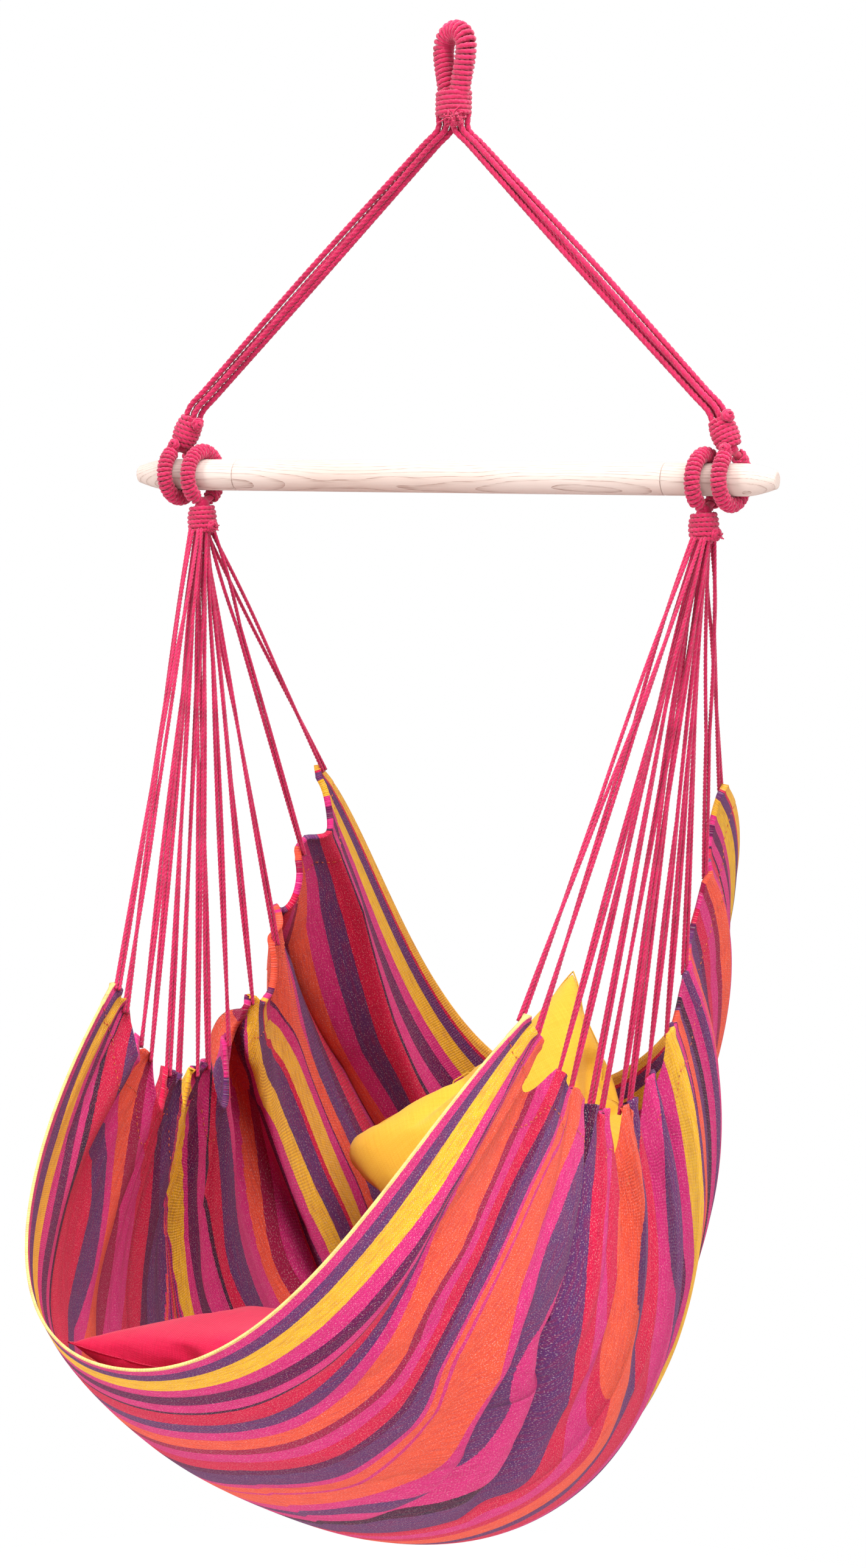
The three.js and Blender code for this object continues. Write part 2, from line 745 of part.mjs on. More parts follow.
addCushion(
  "seat_cushion",
  colours.seatCushion,
  new THREE.Euler(seatCushionTilt, 0, 0),
  seatCushionBow,
  new THREE.Vector3(0, seatCushionPlaceY, -seatCushionDrop),
  liftWay(seatCushionLift),
);
addCushion(
  "back_cushion",
  colours.backCushion,
  new THREE.Euler(backCushionTilt, 0, backCushionTurn),
  backCushionBow,
  new THREE.Vector3(0, backCushionPlaceY, -backCushionDrop),
  liftWay(backCushionLift),
);

export default chair;
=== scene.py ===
"""Hammock chair: ropes, windings, bar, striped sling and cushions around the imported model.

Metres, +Z up, X along the bar, -Y to the front. The origin is the inner crown of the eye.
"""

import json
import logging
import math
from dataclasses import dataclass, replace
from enum import Enum
from typing import Any, Callable, Sequence

import bpy
import numpy as np
from mathutils import Matrix, Vector
from mathutils.bvhtree import BVHTree


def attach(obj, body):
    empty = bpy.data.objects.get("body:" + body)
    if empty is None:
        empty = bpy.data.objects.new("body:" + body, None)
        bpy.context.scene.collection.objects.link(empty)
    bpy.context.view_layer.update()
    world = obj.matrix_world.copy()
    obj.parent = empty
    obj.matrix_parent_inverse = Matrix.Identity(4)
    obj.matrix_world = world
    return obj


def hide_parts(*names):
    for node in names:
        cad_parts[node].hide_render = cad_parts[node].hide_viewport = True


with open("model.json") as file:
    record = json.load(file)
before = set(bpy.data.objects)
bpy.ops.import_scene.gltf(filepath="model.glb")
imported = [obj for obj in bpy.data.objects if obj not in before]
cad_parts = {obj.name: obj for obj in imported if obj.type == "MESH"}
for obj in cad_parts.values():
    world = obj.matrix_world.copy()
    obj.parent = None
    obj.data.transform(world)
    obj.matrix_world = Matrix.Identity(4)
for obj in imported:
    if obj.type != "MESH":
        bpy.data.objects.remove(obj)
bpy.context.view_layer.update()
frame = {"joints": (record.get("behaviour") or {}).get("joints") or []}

logging.basicConfig(level=logging.INFO, format="%(message)s")
log = logging.getLogger("hammock_chair")

Colour = tuple[float, float, float, float]
Place = Callable[[np.ndarray], tuple[np.ndarray, np.ndarray, np.ndarray]]

TURN = 2 * math.pi

# The bar's axis below the origin, and the places of the whipped ends on it
BAR_ROLL = next(joint for joint in frame["joints"] if joint["name"] == "bar_roll")
BAR_DROP = -BAR_ROLL["pos_m"][2]
LOWER_LOOP_PLACE = 0.315
UPPER_LOOP_STEP = 0.031
UPPER_LEAN = math.radians(24)

# How far a loop's middle lies off the bar's axis, and where its neck ends above the loop's top
LOOP_SHIFT = 0.00145
NECK_END = 0.041


class Body(Enum):
    """The moving bodies of the model."""

    SUSPENSION = "suspension"
    BAR = "bar"
    SEAT = "seat"
    SEAT_CUSHION = "seat_cushion"
    BACK_CUSHION = "back_cushion"


class Slot(Enum):
    """The material slots of the record."""

    ROPE = "rope"
    WHIPPING = "whipping_cord"
    WOOD = "bar_wood"
    CLOTH = "sling_cloth"
    SEAT_COVER = "seat_cover"
    BACK_COVER = "back_cover"


class Side(Enum):
    """The two sides of the chair, with their sign along the bar."""

    LEFT = -1
    RIGHT = 1

    @property
    def word(self) -> str:
        """The side's word in the names of nodes."""
        return self.name.lower()


def paint(red: int, green: int, blue: int) -> Colour:
    """A display colour as the linear colour that a shader takes.

    Args:
        red: red from 0 to 255.
        green: green from 0 to 255.
        blue: blue from 0 to 255.

    Returns:
        The linear colour with full alpha.
    """
    shares = [value / 255 for value in (red, green, blue)]
    linear = [s / 12.92 if s <= 0.04045 else ((s + 0.055) / 1.055) ** 2.4 for s in shares]
    return (linear[0], linear[1], linear[2], 1.0)


# Meshes


@dataclass
class Shell:
    """One closed surface: its points, its faces and a layer of texture places."""

    points: np.ndarray
    faces: list[tuple[int, ...]]
    layer: np.ndarray


def unit(vectors: np.ndarray) -> np.ndarray:
    """Vectors brought to length one.

    Args:
        vectors: vectors in the last axis.

    Returns:
        The same vectors with length one.
    """
    length = np.linalg.norm(vectors, axis=-1, keepdims=True)
    return vectors / np.maximum(length, 1e-12)


def arc_lengths(path: np.ndarray) -> np.ndarray:
    """Distance from the start of a path to each of its points."""
    steps = np.linalg.norm(np.diff(path, axis=0), axis=1)
    return np.concatenate([[0.0], np.cumsum(steps)])


def resample(path: np.ndarray, count: int) -> np.ndarray:
    """A path with its points spread evenly along its length.

    Args:
        path: points of the path.
        count: how many points to return.

    Returns:
        The evenly spaced points.
    """
    along = arc_lengths(path)
    wanted = np.linspace(0, along[-1], count)
    return np.stack([np.interp(wanted, along, path[:, axis]) for axis in range(3)], axis=1)


def smooth_route(knots: Sequence[Sequence[float]], count: int) -> np.ndarray:
    """Evenly spaced points of a centripetal curve through some knots.

    Args:
        knots: the points that the curve passes.
        count: how many points to return.

    Returns:
        The points of the curve.
    """
    inner = np.array(knots, float)
    first = 2 * inner[0] - inner[1]
    last = 2 * inner[-1] - inner[-2]
    all_knots = np.vstack([first, inner, last])
    dense = []
    for i in range(1, len(all_knots) - 2):
        p0, p1, p2, p3 = all_knots[i - 1 : i + 3]
        t1 = np.linalg.norm(p1 - p0) ** 0.5
        t2 = t1 + np.linalg.norm(p2 - p1) ** 0.5
        t3 = t2 + np.linalg.norm(p3 - p2) ** 0.5
        t = np.linspace(t1, t2, 40)[:, None]
        a1 = p0 * (t1 - t) / t1 + p1 * t / t1
        a2 = p1 * (t2 - t) / (t2 - t1) + p2 * (t - t1) / (t2 - t1)
        a3 = p2 * (t3 - t) / (t3 - t2) + p3 * (t - t2) / (t3 - t2)
        b1 = a1 * (t2 - t) / t2 + a2 * t / t2
        b2 = a2 * (t3 - t) / (t3 - t1) + a3 * (t - t1) / (t3 - t1)
        dense.append(b1 * (t2 - t) / (t2 - t1) + b2 * (t - t1) / (t2 - t1))
    return resample(np.vstack(dense), count)


def carried_outward(path: np.ndarray, start: Sequence[float]) -> np.ndarray:
    """Directions across a path that turn as little as the path allows.

    Args:
        path: points of the path.
        start: the direction at the path's first point.

    Returns:
        One direction across the path for each point.
    """
    ahead = unit(np.gradient(path, axis=0))
    across = np.zeros_like(path)
    current = np.array(start, float)
    for i, way in enumerate(ahead):
        current = current - way * float(current @ way)
        current = current / max(float(np.linalg.norm(current)), 1e-12)
        across[i] = current
    return across


@dataclass(frozen=True)
class Section:
    """A cord's section: plies laid side by side, with grooves between them."""

    radius: float
    plies: int = 3
    groove: float = 0.34
    corners: int = 4
    lay: float = 0.02

    def outline(self) -> tuple[np.ndarray, np.ndarray]:
        """Angles and radii of the section's corners."""
        count = self.plies * self.corners
        angles = TURN * np.arange(count) / count
        lobes = np.abs(np.cos(self.plies * angles / 2))
        return angles, self.radius * (1 - self.groove + self.groove * np.sqrt(lobes))


def core_section(radius: float) -> Section:
    """The section of a rope's core, which lies under a winding."""
    return Section(radius, plies=3, groove=0.1, corners=4, lay=0.03)


def sweep(
    path: np.ndarray,
    outward: np.ndarray,
    section: Section,
    swell: np.ndarray | None = None,
    phase: float = 0.0,
) -> Shell:
    """A twisted cord along a path, closed at both ends.

    Args:
        path: points of the cord's middle line.
        outward: a direction across the path at each point.
        section: the cord's section.
        swell: a factor on the section's radius at each point.
        phase: the turn of the plies at the start.

    Returns:
        The cord's surface, with its fibres' places as its layer.
    """
    ahead = unit(np.gradient(path, axis=0))
    out = unit(outward - ahead * np.sum(outward * ahead, axis=1, keepdims=True))
    side = np.cross(ahead, out)
    along = arc_lengths(path)
    angles, radii = section.outline()
    turned = angles[None, :] + phase + (TURN * along / section.lay)[:, None]
    wide = radii[None, :] * (np.ones(len(path)) if swell is None else swell)[:, None]
    x = wide * np.cos(turned)
    y = wide * np.sin(turned)
    points = path[:, None, :] + x[..., None] * out[:, None, :] + y[..., None] * side[:, None, :]
    layer = np.stack([x, y, np.broadcast_to(along[:, None], x.shape)], axis=-1)
    rows, corners = x.shape
    faces = [
        (i * corners + k, i * corners + n, (i + 1) * corners + n, (i + 1) * corners + k)
        for i in range(rows - 1)
        for k, n in ((k, (k + 1) % corners) for k in range(corners))
    ]
    last = (rows - 1) * corners
    faces.append(tuple(range(corners - 1, -1, -1)))
    faces.append(tuple(range(last, last + corners)))
    return Shell(points.reshape(-1, 3), faces, layer.reshape(-1, 3))


def lathe(profile: Sequence[tuple[float, float]], facets: int) -> Shell:
    """A profile of radius and place turned about the X axis, closed at both ends.

    Args:
        profile: radius and place of each ring, from one end to the other.
        facets: how many corners a ring has.

    Returns:
        The turned surface.
    """
    angle = TURN * np.arange(facets) / facets
    radius = np.array([r for r, _ in profile])[:, None]
    place = np.array([p for _, p in profile])[:, None]
    x = np.broadcast_to(place, (len(profile), facets))
    points = np.stack([x, radius * np.cos(angle), radius * np.sin(angle)], axis=-1)
    faces = [
        (i * facets + k, (i + 1) * facets + k, (i + 1) * facets + n, i * facets + n)
        for i in range(len(profile) - 1)
        for k, n in ((k, (k + 1) % facets) for k in range(facets))
    ]
    last = (len(profile) - 1) * facets
    faces.append(tuple(range(facets)))
    faces.append(tuple(range(last + facets - 1, last - 1, -1)))
    flat = points.reshape(-1, 3)
    return Shell(flat, faces, flat.copy())


def moved(shell: Shell, matrix: Matrix) -> Shell:
    """A shell moved by a matrix, with its layer kept."""
    turn = np.array(matrix.to_3x3())
    points = shell.points @ turn.T + np.array(matrix.translation)
    return Shell(points, shell.faces, shell.layer)


def upright(turned: Shell) -> Shell:
    """A turned shell with its axis laid from X to Z."""
    return Shell(turned.points[:, [2, 1, 0]] * [-1, 1, 1], turned.faces, turned.layer)


def rim_of(index: np.ndarray) -> np.ndarray:
    """The numbers of a grid's points once round its edge, back to the first."""
    return np.concatenate([index[:, 0], index[-1, 1:], index[::-1, -1][1:], index[0, ::-1][1:]])


def quads_of(index: np.ndarray) -> np.ndarray:
    """The four-sided faces between a grid's points."""
    corners = (index[:-1, :-1], index[1:, :-1], index[1:, 1:], index[:-1, 1:])
    return np.stack(corners, axis=-1).reshape(-1, 4)


def tiled(way: Sequence[float], count: int) -> np.ndarray:
    """One direction repeated for each of some points."""
    return np.tile(np.array(way, float), (count, 1))


def bell(aside: np.ndarray, width: float) -> np.ndarray:
    """A soft bump that is 1 in its middle and falls off over a width."""
    return np.exp(-((aside / width) ** 2))


def make_mesh(name: str, shells: Sequence[Shell]) -> bpy.types.Object:
    """One object from some shells, shaded smooth, with the layer as an attribute.

    Args:
        name: the object's name.
        shells: the closed surfaces that it holds.

    Returns:
        The new object, linked to the scene.
    """
    faces: list[tuple[int, ...]] = []
    offset = 0
    for shell in shells:
        faces += [tuple(index + offset for index in face) for face in shell.faces]
        offset += len(shell.points)
    points = np.vstack([shell.points for shell in shells])
    layer = np.vstack([shell.layer for shell in shells])
    mesh = bpy.data.meshes.new(name)
    mesh.from_pydata(points.tolist(), [], faces)
    attribute = mesh.attributes.new("place", "FLOAT_VECTOR", "POINT")
    attribute.data.foreach_set("vector", layer.astype(np.float32).ravel())
    mesh.polygons.foreach_set("use_smooth", np.ones(len(mesh.polygons), bool))
    mesh.update()
    piece = bpy.data.objects.new(name, mesh)
    bpy.context.scene.collection.objects.link(piece)
    return piece


def dress(
    piece: bpy.types.Object,
    material: bpy.types.Material,
    body: Body,
    nodes: Sequence[str] = (),
) -> bpy.types.Object:
    """Gives a piece its material and its body, and hides the nodes that it stands for.

    Args:
        piece: the piece.
        material: its material.
        body: the body that it rides on.
        nodes: the nodes of the model that it replaces.

    Returns:
        The same piece.
    """
    piece.data.materials.append(material)
    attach(piece, body.value)
    if nodes:
        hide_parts(*nodes)
    log.info("%s: %d faces on %s", piece.name, len(piece.data.polygons), body.value)
    return piece


def add_piece(
    name: str,
    shells: Sequence[Shell],
    material: bpy.types.Material,
    body: Body,
    slot: Slot,
    *nodes: str,
) -> bpy.types.Object:
    """Makes a piece of some shells and dresses it.

    Args:
        name: the piece's name.
        shells: the closed surfaces that it holds.
        material: its material.
        body: the body that it rides on.
        slot: the record's slot for its finish; not used.
        nodes: the nodes of the model that it replaces.

    Returns:
        The new piece.
    """
    return dress(make_mesh(name, shells), material, body, nodes)


# Shader nodes


class Wiring:
    """Adds nodes to one node tree and joins their sockets."""

    def __init__(self, tree: bpy.types.NodeTree) -> None:
        """Keeps the tree that nodes are added to."""
        self.tree = tree

    def add(
        self, kind: str, inputs: dict[Any, Any] | None = None, **settings: Any
    ) -> bpy.types.Node:
        """Adds one node.

        Args:
            kind: the node's type.
            inputs: a value or a socket for each input, by its name or number.
            settings: values for the node's own fields.

        Returns:
            The new node.
        """
        node = self.tree.nodes.new(kind)
        for field, value in settings.items():
            setattr(node, field, value)
        for key, value in (inputs or {}).items():
            if isinstance(value, bpy.types.NodeSocket):
                self.tree.links.new(value, node.inputs[key])
            else:
                node.inputs[key].default_value = value
        return node

    def join(self, source: bpy.types.NodeSocket, node: bpy.types.Node, name: str) -> None:
        """Joins a socket to a node's input."""
        self.tree.links.new(source, node.inputs[name])

    def number(self, operation: str, *values: Any) -> bpy.types.NodeSocket:
        """The result of a Math node on some values or sockets."""
        node = self.add("ShaderNodeMath", dict(enumerate(values)), operation=operation)
        return node.outputs[0]

    def spread(
        self, value: Any, low: float, high: float, to: tuple[float, float]
    ) -> bpy.types.NodeSocket:
        """A value carried from one range to another, held at its ends."""
        inputs = {0: value, 1: low, 2: high, 3: to[0], 4: to[1]}
        return self.add("ShaderNodeMapRange", inputs).outputs[0]

    def scaled(self, vector: Any, x: float, y: float, z: float) -> bpy.types.NodeSocket:
        """A vector multiplied by three factors."""
        node = self.add("ShaderNodeVectorMath", {0: vector, 1: (x, y, z)}, operation="MULTIPLY")
        return node.outputs[0]

    def mixed(self, share: Any, first: Any, second: Any) -> bpy.types.NodeSocket:
        """Two colours mixed by a share."""
        inputs = {0: share, 6: first, 7: second}
        return self.add("ShaderNodeMix", inputs, data_type="RGBA").outputs[2]

    def noise(self, vector: Any, scale: float, detail: float = 2.0) -> bpy.types.NodeSocket:
        """The value of a noise texture."""
        inputs = {"Vector": vector, "Scale": scale, "Detail": detail}
        return self.add("ShaderNodeTexNoise", inputs).outputs[0]

    def ramp(self, value: Any, stops: Sequence[tuple[float, Colour]]) -> bpy.types.NodeSocket:
        """Plain steps of colour picked by a value.

        Args:
            value: the value that picks the colour.
            stops: place and colour of each stop.

        Returns:
            The colour.
        """
        node = self.add("ShaderNodeValToRGB", {0: value})
        node.color_ramp.interpolation = "CONSTANT"
        elements = node.color_ramp.elements
        while len(elements) > 1:
            elements.remove(elements[-1])
        elements[0].position, elements[0].color = stops[0]
        for place, colour in stops[1:]:
            elements.new(place).color = colour
        return node.outputs[0]


def node_group(
    name: str, number: str, start: float, outputs: Sequence[str]
) -> tuple[Wiring, bpy.types.NodeSocket, bpy.types.Node]:
    """A shader node group that scales its vector by a number.

    Args:
        name: the group's name.
        number: the name of the input that scales the vector.
        start: that input's value.
        outputs: the names of its outputs.

    Returns:
        The group's wiring, the scaled vector and the output node.
    """
    group = bpy.data.node_groups.new(name, "ShaderNodeTree")
    group.interface.new_socket("Vector", in_out="INPUT", socket_type="NodeSocketVector")
    factor = group.interface.new_socket(number, in_out="INPUT", socket_type="NodeSocketFloat")
    factor.default_value = start
    for word in outputs:
        group.interface.new_socket(word, in_out="OUTPUT", socket_type="NodeSocketFloat")
    w = Wiring(group)
    source, result = w.add("NodeGroupInput").outputs, w.add("NodeGroupOutput")
    inputs = {0: source["Vector"], 3: source[number]}
    return w, w.add("ShaderNodeVectorMath", inputs, operation="SCALE").outputs[0], result


def yarn_group() -> bpy.types.NodeTree:
    """Fibres along a cord: fine lines, stray pale fibres and worn patches."""
    w, sized, result = node_group("Yarn fibres", "Fineness", 1.0, ("Height", "Fleck", "Patch"))
    lines = w.noise(w.scaled(sized, 1.0, 1.0, 0.16), 2600.0, 1.0)
    stray = w.noise(w.scaled(sized, 1.0, 1.0, 0.35), 900.0, 2.0)
    patch = w.noise(sized, 38.0, 2.0)
    w.join(lines, result, "Height")
    w.join(w.spread(stray, 0.6, 0.72, (0.0, 1.0)), result, "Fleck")
    w.join(w.spread(patch, 0.35, 0.65, (0.0, 1.0)), result, "Patch")
    return w.tree


def weave_group() -> bpy.types.NodeTree:
    """Plain weave: threads over and under each other, with uneven thick threads."""
    w, sized, result = node_group("Plain weave", "Threads", 700.0, ("Height", "Cross", "Slub"))
    parts = w.add("ShaderNodeSeparateXYZ", {0: sized})
    wander = w.noise(w.scaled(sized, 0.05, 0.05, 0.05), 1.0, 1.0)
    x, y = (w.number("ADD", parts.outputs[axis], wander) for axis in range(2))
    ridge_x, ridge_y = (
        w.number("ABSOLUTE", w.number("SINE", w.number("MULTIPLY", way, math.pi))) for way in (x, y)
    )
    cells = w.number("ADD", w.number("FLOOR", x), w.number("FLOOR", y))
    over = w.number("PINGPONG", cells, 1.0)
    one = w.number("MULTIPLY", over, ridge_x)
    other = w.number("MULTIPLY", w.number("SUBTRACT", 1.0, over), ridge_y)
    slub_x = w.noise(w.scaled(sized, 0.03, 0.9, 0.0), 1.0, 1.0)
    slub_y = w.noise(w.scaled(sized, 0.9, 0.03, 1.0), 1.0, 1.0)
    slub = w.number("MULTIPLY", w.number("ADD", slub_x, slub_y), 0.5)
    w.join(w.number("ADD", one, other), result, "Height")
    w.join(over, result, "Cross")
    w.join(w.spread(slub, 0.35, 0.65, (0.0, 1.0)), result, "Slub")
    return w.tree


def shared(name: str, build: Callable[[], bpy.types.NodeTree]) -> bpy.types.NodeTree:
    """A node group by its name, built the first time that it is asked for."""
    found = bpy.data.node_groups.get(name)
    return found if found else build()


@dataclass(frozen=True)
class Finish:
    """What every finish has: a name and how rough and sheeny its surface is."""

    name: str
    roughness: float = 0.85
    sheen: float = 0.0
    specular: float = 0.25

    def start(self) -> tuple[bpy.types.Material, Wiring, bpy.types.Node]:
        """A new material with its plain numbers set on its shader.

        Returns:
            The material, its wiring and its shader.
        """
        material = bpy.data.materials.new(self.name)
        material.use_nodes = True
        shader = material.node_tree.nodes["Principled BSDF"]
        shader.inputs["Roughness"].default_value = self.roughness
        shader.inputs["Sheen Weight"].default_value = self.sheen
        shader.inputs["Specular IOR Level"].default_value = self.specular
        return material, Wiring(material.node_tree), shader

    def grouped(
        self,
        w: Wiring,
        name: str,
        build: Callable[[], bpy.types.NodeTree],
        number: str,
        value: float,
    ) -> tuple[bpy.types.NodeSocket, Any]:
        """A shared group on the places of a piece.

        Args:
            w: the material's wiring.
            name: the group's name.
            build: what builds the group.
            number: the name of the group's number.
            value: that number.

        Returns:
            The places on the piece and the group's outputs.
        """
        place = w.add("ShaderNodeAttribute", attribute_name="place").outputs["Vector"]
        tree = shared(name, build)
        group = w.add("ShaderNodeGroup", {"Vector": place, number: value}, node_tree=tree)
        return place, group.outputs

    def bump(self, w: Wiring, shader: bpy.types.Node, height: Any, depth: float) -> None:
        """Joins a height to the shader's normal, as a bump of some depth."""
        node = w.add("ShaderNodeBump", {"Height": height, "Distance": depth, "Strength": 1.0})
        w.join(node.outputs[0], shader, "Normal")


@dataclass(frozen=True)
class YarnFinish(Finish):
    """Dyed cotton cord: fibres along the lay, darker patches and pale stray fibres."""

    colour: Colour = (0.5, 0.1, 0.1, 1.0)
    # The deep colour darkens the worn patches, and is also painted shade in the grooves between
    # fibres
    deep: Colour = (0.3, 0.02, 0.05, 1.0)
    pale: Colour = (0.8, 0.4, 0.5, 1.0)
    fineness: float = 1.0
    depth: float = 0.0003

    def material(self) -> bpy.types.Material:
        """The cord's material."""
        material, w, shader = self.start()
        _, yarn = self.grouped(w, "Yarn fibres", yarn_group, "Fineness", self.fineness)
        worn = w.mixed(w.number("MULTIPLY", yarn["Patch"], 0.45), self.colour, self.deep)
        # Painted shade: the low lines of the fibre relief are darkened towards the deep colour
        groove_shaded = w.mixed(w.spread(yarn["Height"], 0.3, 0.5, (0.4, 0.0)), worn, self.deep)
        colour = w.mixed(w.number("MULTIPLY", yarn["Fleck"], 0.45), groove_shaded, self.pale)
        w.join(colour, shader, "Base Color")
        self.bump(w, shader, yarn["Height"], self.depth)
        return material


@dataclass(frozen=True)
class WoodFinish(Finish):
    """Pale turned wood: long fine grain, broad soft bands and short dark pores."""

    colour: Colour = (0.8, 0.7, 0.6, 1.0)
    band: Colour = (0.7, 0.55, 0.45, 1.0)
    pore: Colour = (0.35, 0.2, 0.12, 1.0)

    # Scales of the noise along the bar and across it, rings in a metre, their wander, and relief
    drifts: tuple[float, float, float] = (4.5, 16.0, 16.0)
    fibres: tuple[float, float, float] = (14.0, 1500.0, 1500.0)
    pores: tuple[float, float, float] = (45.0, 1100.0, 1100.0)
    rings: tuple[float, float] = (210.0, 190.0)
    wander: float = 7.0
    depth: float = 0.00012

    def material(self) -> bpy.types.Material:
        """The wood's material."""
        material, w, shader = self.start()
        place = w.add("ShaderNodeTexCoord").outputs["Object"]
        drift = w.noise(w.scaled(place, *self.drifts), 1.0, 2.0)
        split = w.add("ShaderNodeSeparateXYZ", {0: place}).outputs
        deep, high = (w.number("MULTIPLY", split[i + 1], self.rings[i]) for i in range(2))
        ring = w.number("ADD", deep, w.number("MULTIPLY", drift, self.wander))
        wave = w.number("FRACT", w.number("ADD", high, ring))
        late = w.spread(w.number("POWER", wave, 6.0), 0.0, 1.0, (0.0, 0.85))
        fibre = w.noise(w.scaled(place, *self.fibres), 1.0, 2.0)
        pores = w.noise(w.scaled(place, *self.pores), 1.0, 1.0)
        tone = w.mixed(w.spread(drift, 0.35, 0.7, (0.0, 0.6)), self.colour, self.band)
        dark = w.number("MULTIPLY", late, w.spread(pores, 0.4, 0.6, (0.25, 1.0)))
        grained = w.mixed(dark, tone, self.pore)
        colour = w.mixed(w.spread(fibre, 0.3, 0.6, (0.22, 0.0)), grained, self.band)
        w.join(colour, shader, "Base Color")
        rough = w.spread(fibre, 0.3, 0.7, (self.roughness + 0.1, self.roughness - 0.05))
        w.join(rough, shader, "Roughness")
        self.bump(w, shader, w.number("SUBTRACT", fibre, late), self.depth)
        return material


@dataclass(frozen=True)
class ClothFinish(Finish):
    """Woven cotton."""

    threads: float = 640.0
    depth: float = 0.0003

    def weave(self, w: Wiring) -> tuple[bpy.types.NodeSocket, Any]:
        """The places on the piece and its weave."""
        return self.grouped(w, "Plain weave", weave_group, "Threads", self.threads)

    def finished(
        self, w: Wiring, shader: bpy.types.Node, weave: Any, colour: bpy.types.NodeSocket
    ) -> None:
        """Joins the colour and the weave's relief to the shader."""
        w.join(colour, shader, "Base Color")
        self.bump(w, shader, w.number("ADD", weave["Height"], weave["Slub"]), self.depth)


@dataclass(frozen=True)
class PlainClothFinish(ClothFinish):
    """Plain dyed cotton of a cushion cover, with painted shade between its threads."""

    colour: Colour = (0.5, 0.1, 0.1, 1.0)
    # The shade colour darkens the slubs, and is also painted shade between the threads
    shade: Colour = (0.4, 0.05, 0.05, 1.0)
    pale: Colour = (0.8, 0.5, 0.5, 1.0)

    def material(self) -> bpy.types.Material:
        """The cover's material."""
        material, w, shader = self.start()
        place, weave = self.weave(w)
        slubby = w.mixed(w.number("MULTIPLY", weave["Slub"], 0.5), self.colour, self.shade)
        # Painted shade: the low places of the weave, between the threads, are darkened towards the
        # shade colour
        shaded_weave = w.mixed(w.spread(weave["Height"], 0.15, 0.7, (0.4, 0.0)), slubby, self.shade)
        fuzz = w.noise(place, 900.0, 2.0)
        colour = w.mixed(w.spread(fuzz, 0.6, 0.75, (0.0, 0.35)), shaded_weave, self.pale)
        self.finished(w, shader, weave, colour)
        return material


class Dye(Enum):
    """The dyed yarns of the sling."""

    YELLOW = paint(250, 190, 40)
    GOLD = paint(250, 186, 60)
    CREAM = paint(246, 214, 130)
    PINK = paint(218, 46, 124)
    RED = paint(216, 24, 70)
    CRIMSON = paint(160, 22, 68)
    ORANGE = paint(242, 90, 58)
    PURPLE = paint(92, 50, 104)
    # Dark yarn of the thin stripes; the same colour is painted shade between the threads and in the
    # deep fold
    DARK = paint(40, 16, 52)
    PLUM = paint(90, 20, 76)


# One repeat of the sling's stripes, inwards from an edge band: yarn and width in metres
STRIPES: tuple[tuple[Dye, float], ...] = (
    (Dye.YELLOW, 0.027),
    (Dye.PINK, 0.017),
    (Dye.PLUM, 0.024),
    (Dye.PINK, 0.019),
    (Dye.DARK, 0.005),
    (Dye.RED, 0.030),
    (Dye.PURPLE, 0.020),
    (Dye.PINK, 0.021),
    (Dye.ORANGE, 0.026),
    (Dye.CRIMSON, 0.011),
    (Dye.PINK, 0.021),
    (Dye.RED, 0.023),
    (Dye.PLUM, 0.014),
    (Dye.PURPLE, 0.026),
    (Dye.PINK, 0.010),
    (Dye.ORANGE, 0.017),
    (Dye.PINK, 0.005),
    (Dye.ORANGE, 0.034),
    (Dye.PINK, 0.022),
    (Dye.PURPLE, 0.014),
    (Dye.PINK, 0.021),
    # This dark stripe lies in the deep fold's valley: partly the cloth's dark yarn, partly painted
    # shadow of the fold
    (Dye.DARK, 0.013),
    (Dye.PURPLE, 0.037),
    (Dye.RED, 0.016),
    (Dye.PINK, 0.020),
    (Dye.RED, 0.015),
    (Dye.ORANGE, 0.036),
    (Dye.PURPLE, 0.018),
    (Dye.RED, 0.026),
    (Dye.PINK, 0.020),
    (Dye.PURPLE, 0.024),
    (Dye.PINK, 0.022),
)

# The bands at the front edge, at the back edge and beyond the seam between the two panels
FRONT_BAND = ((Dye.CREAM, 0.0028), (Dye.PINK, 0.0132), (Dye.PURPLE, 0.016))
BACK_BAND = ((Dye.GOLD, 0.012), (Dye.RED, 0.004), (Dye.PURPLE, 0.016))
SEAM_BAND = (
    (Dye.PLUM, 0.026),
    (Dye.PINK, 0.018),
    (Dye.YELLOW, 0.034),
    (Dye.PURPLE, 0.026),
    (Dye.RED, 0.005),
    (Dye.GOLD, 0.017),
    (Dye.PINK, 0.016),
    (Dye.PLUM, 0.003),
    (Dye.ORANGE, 0.022),
)


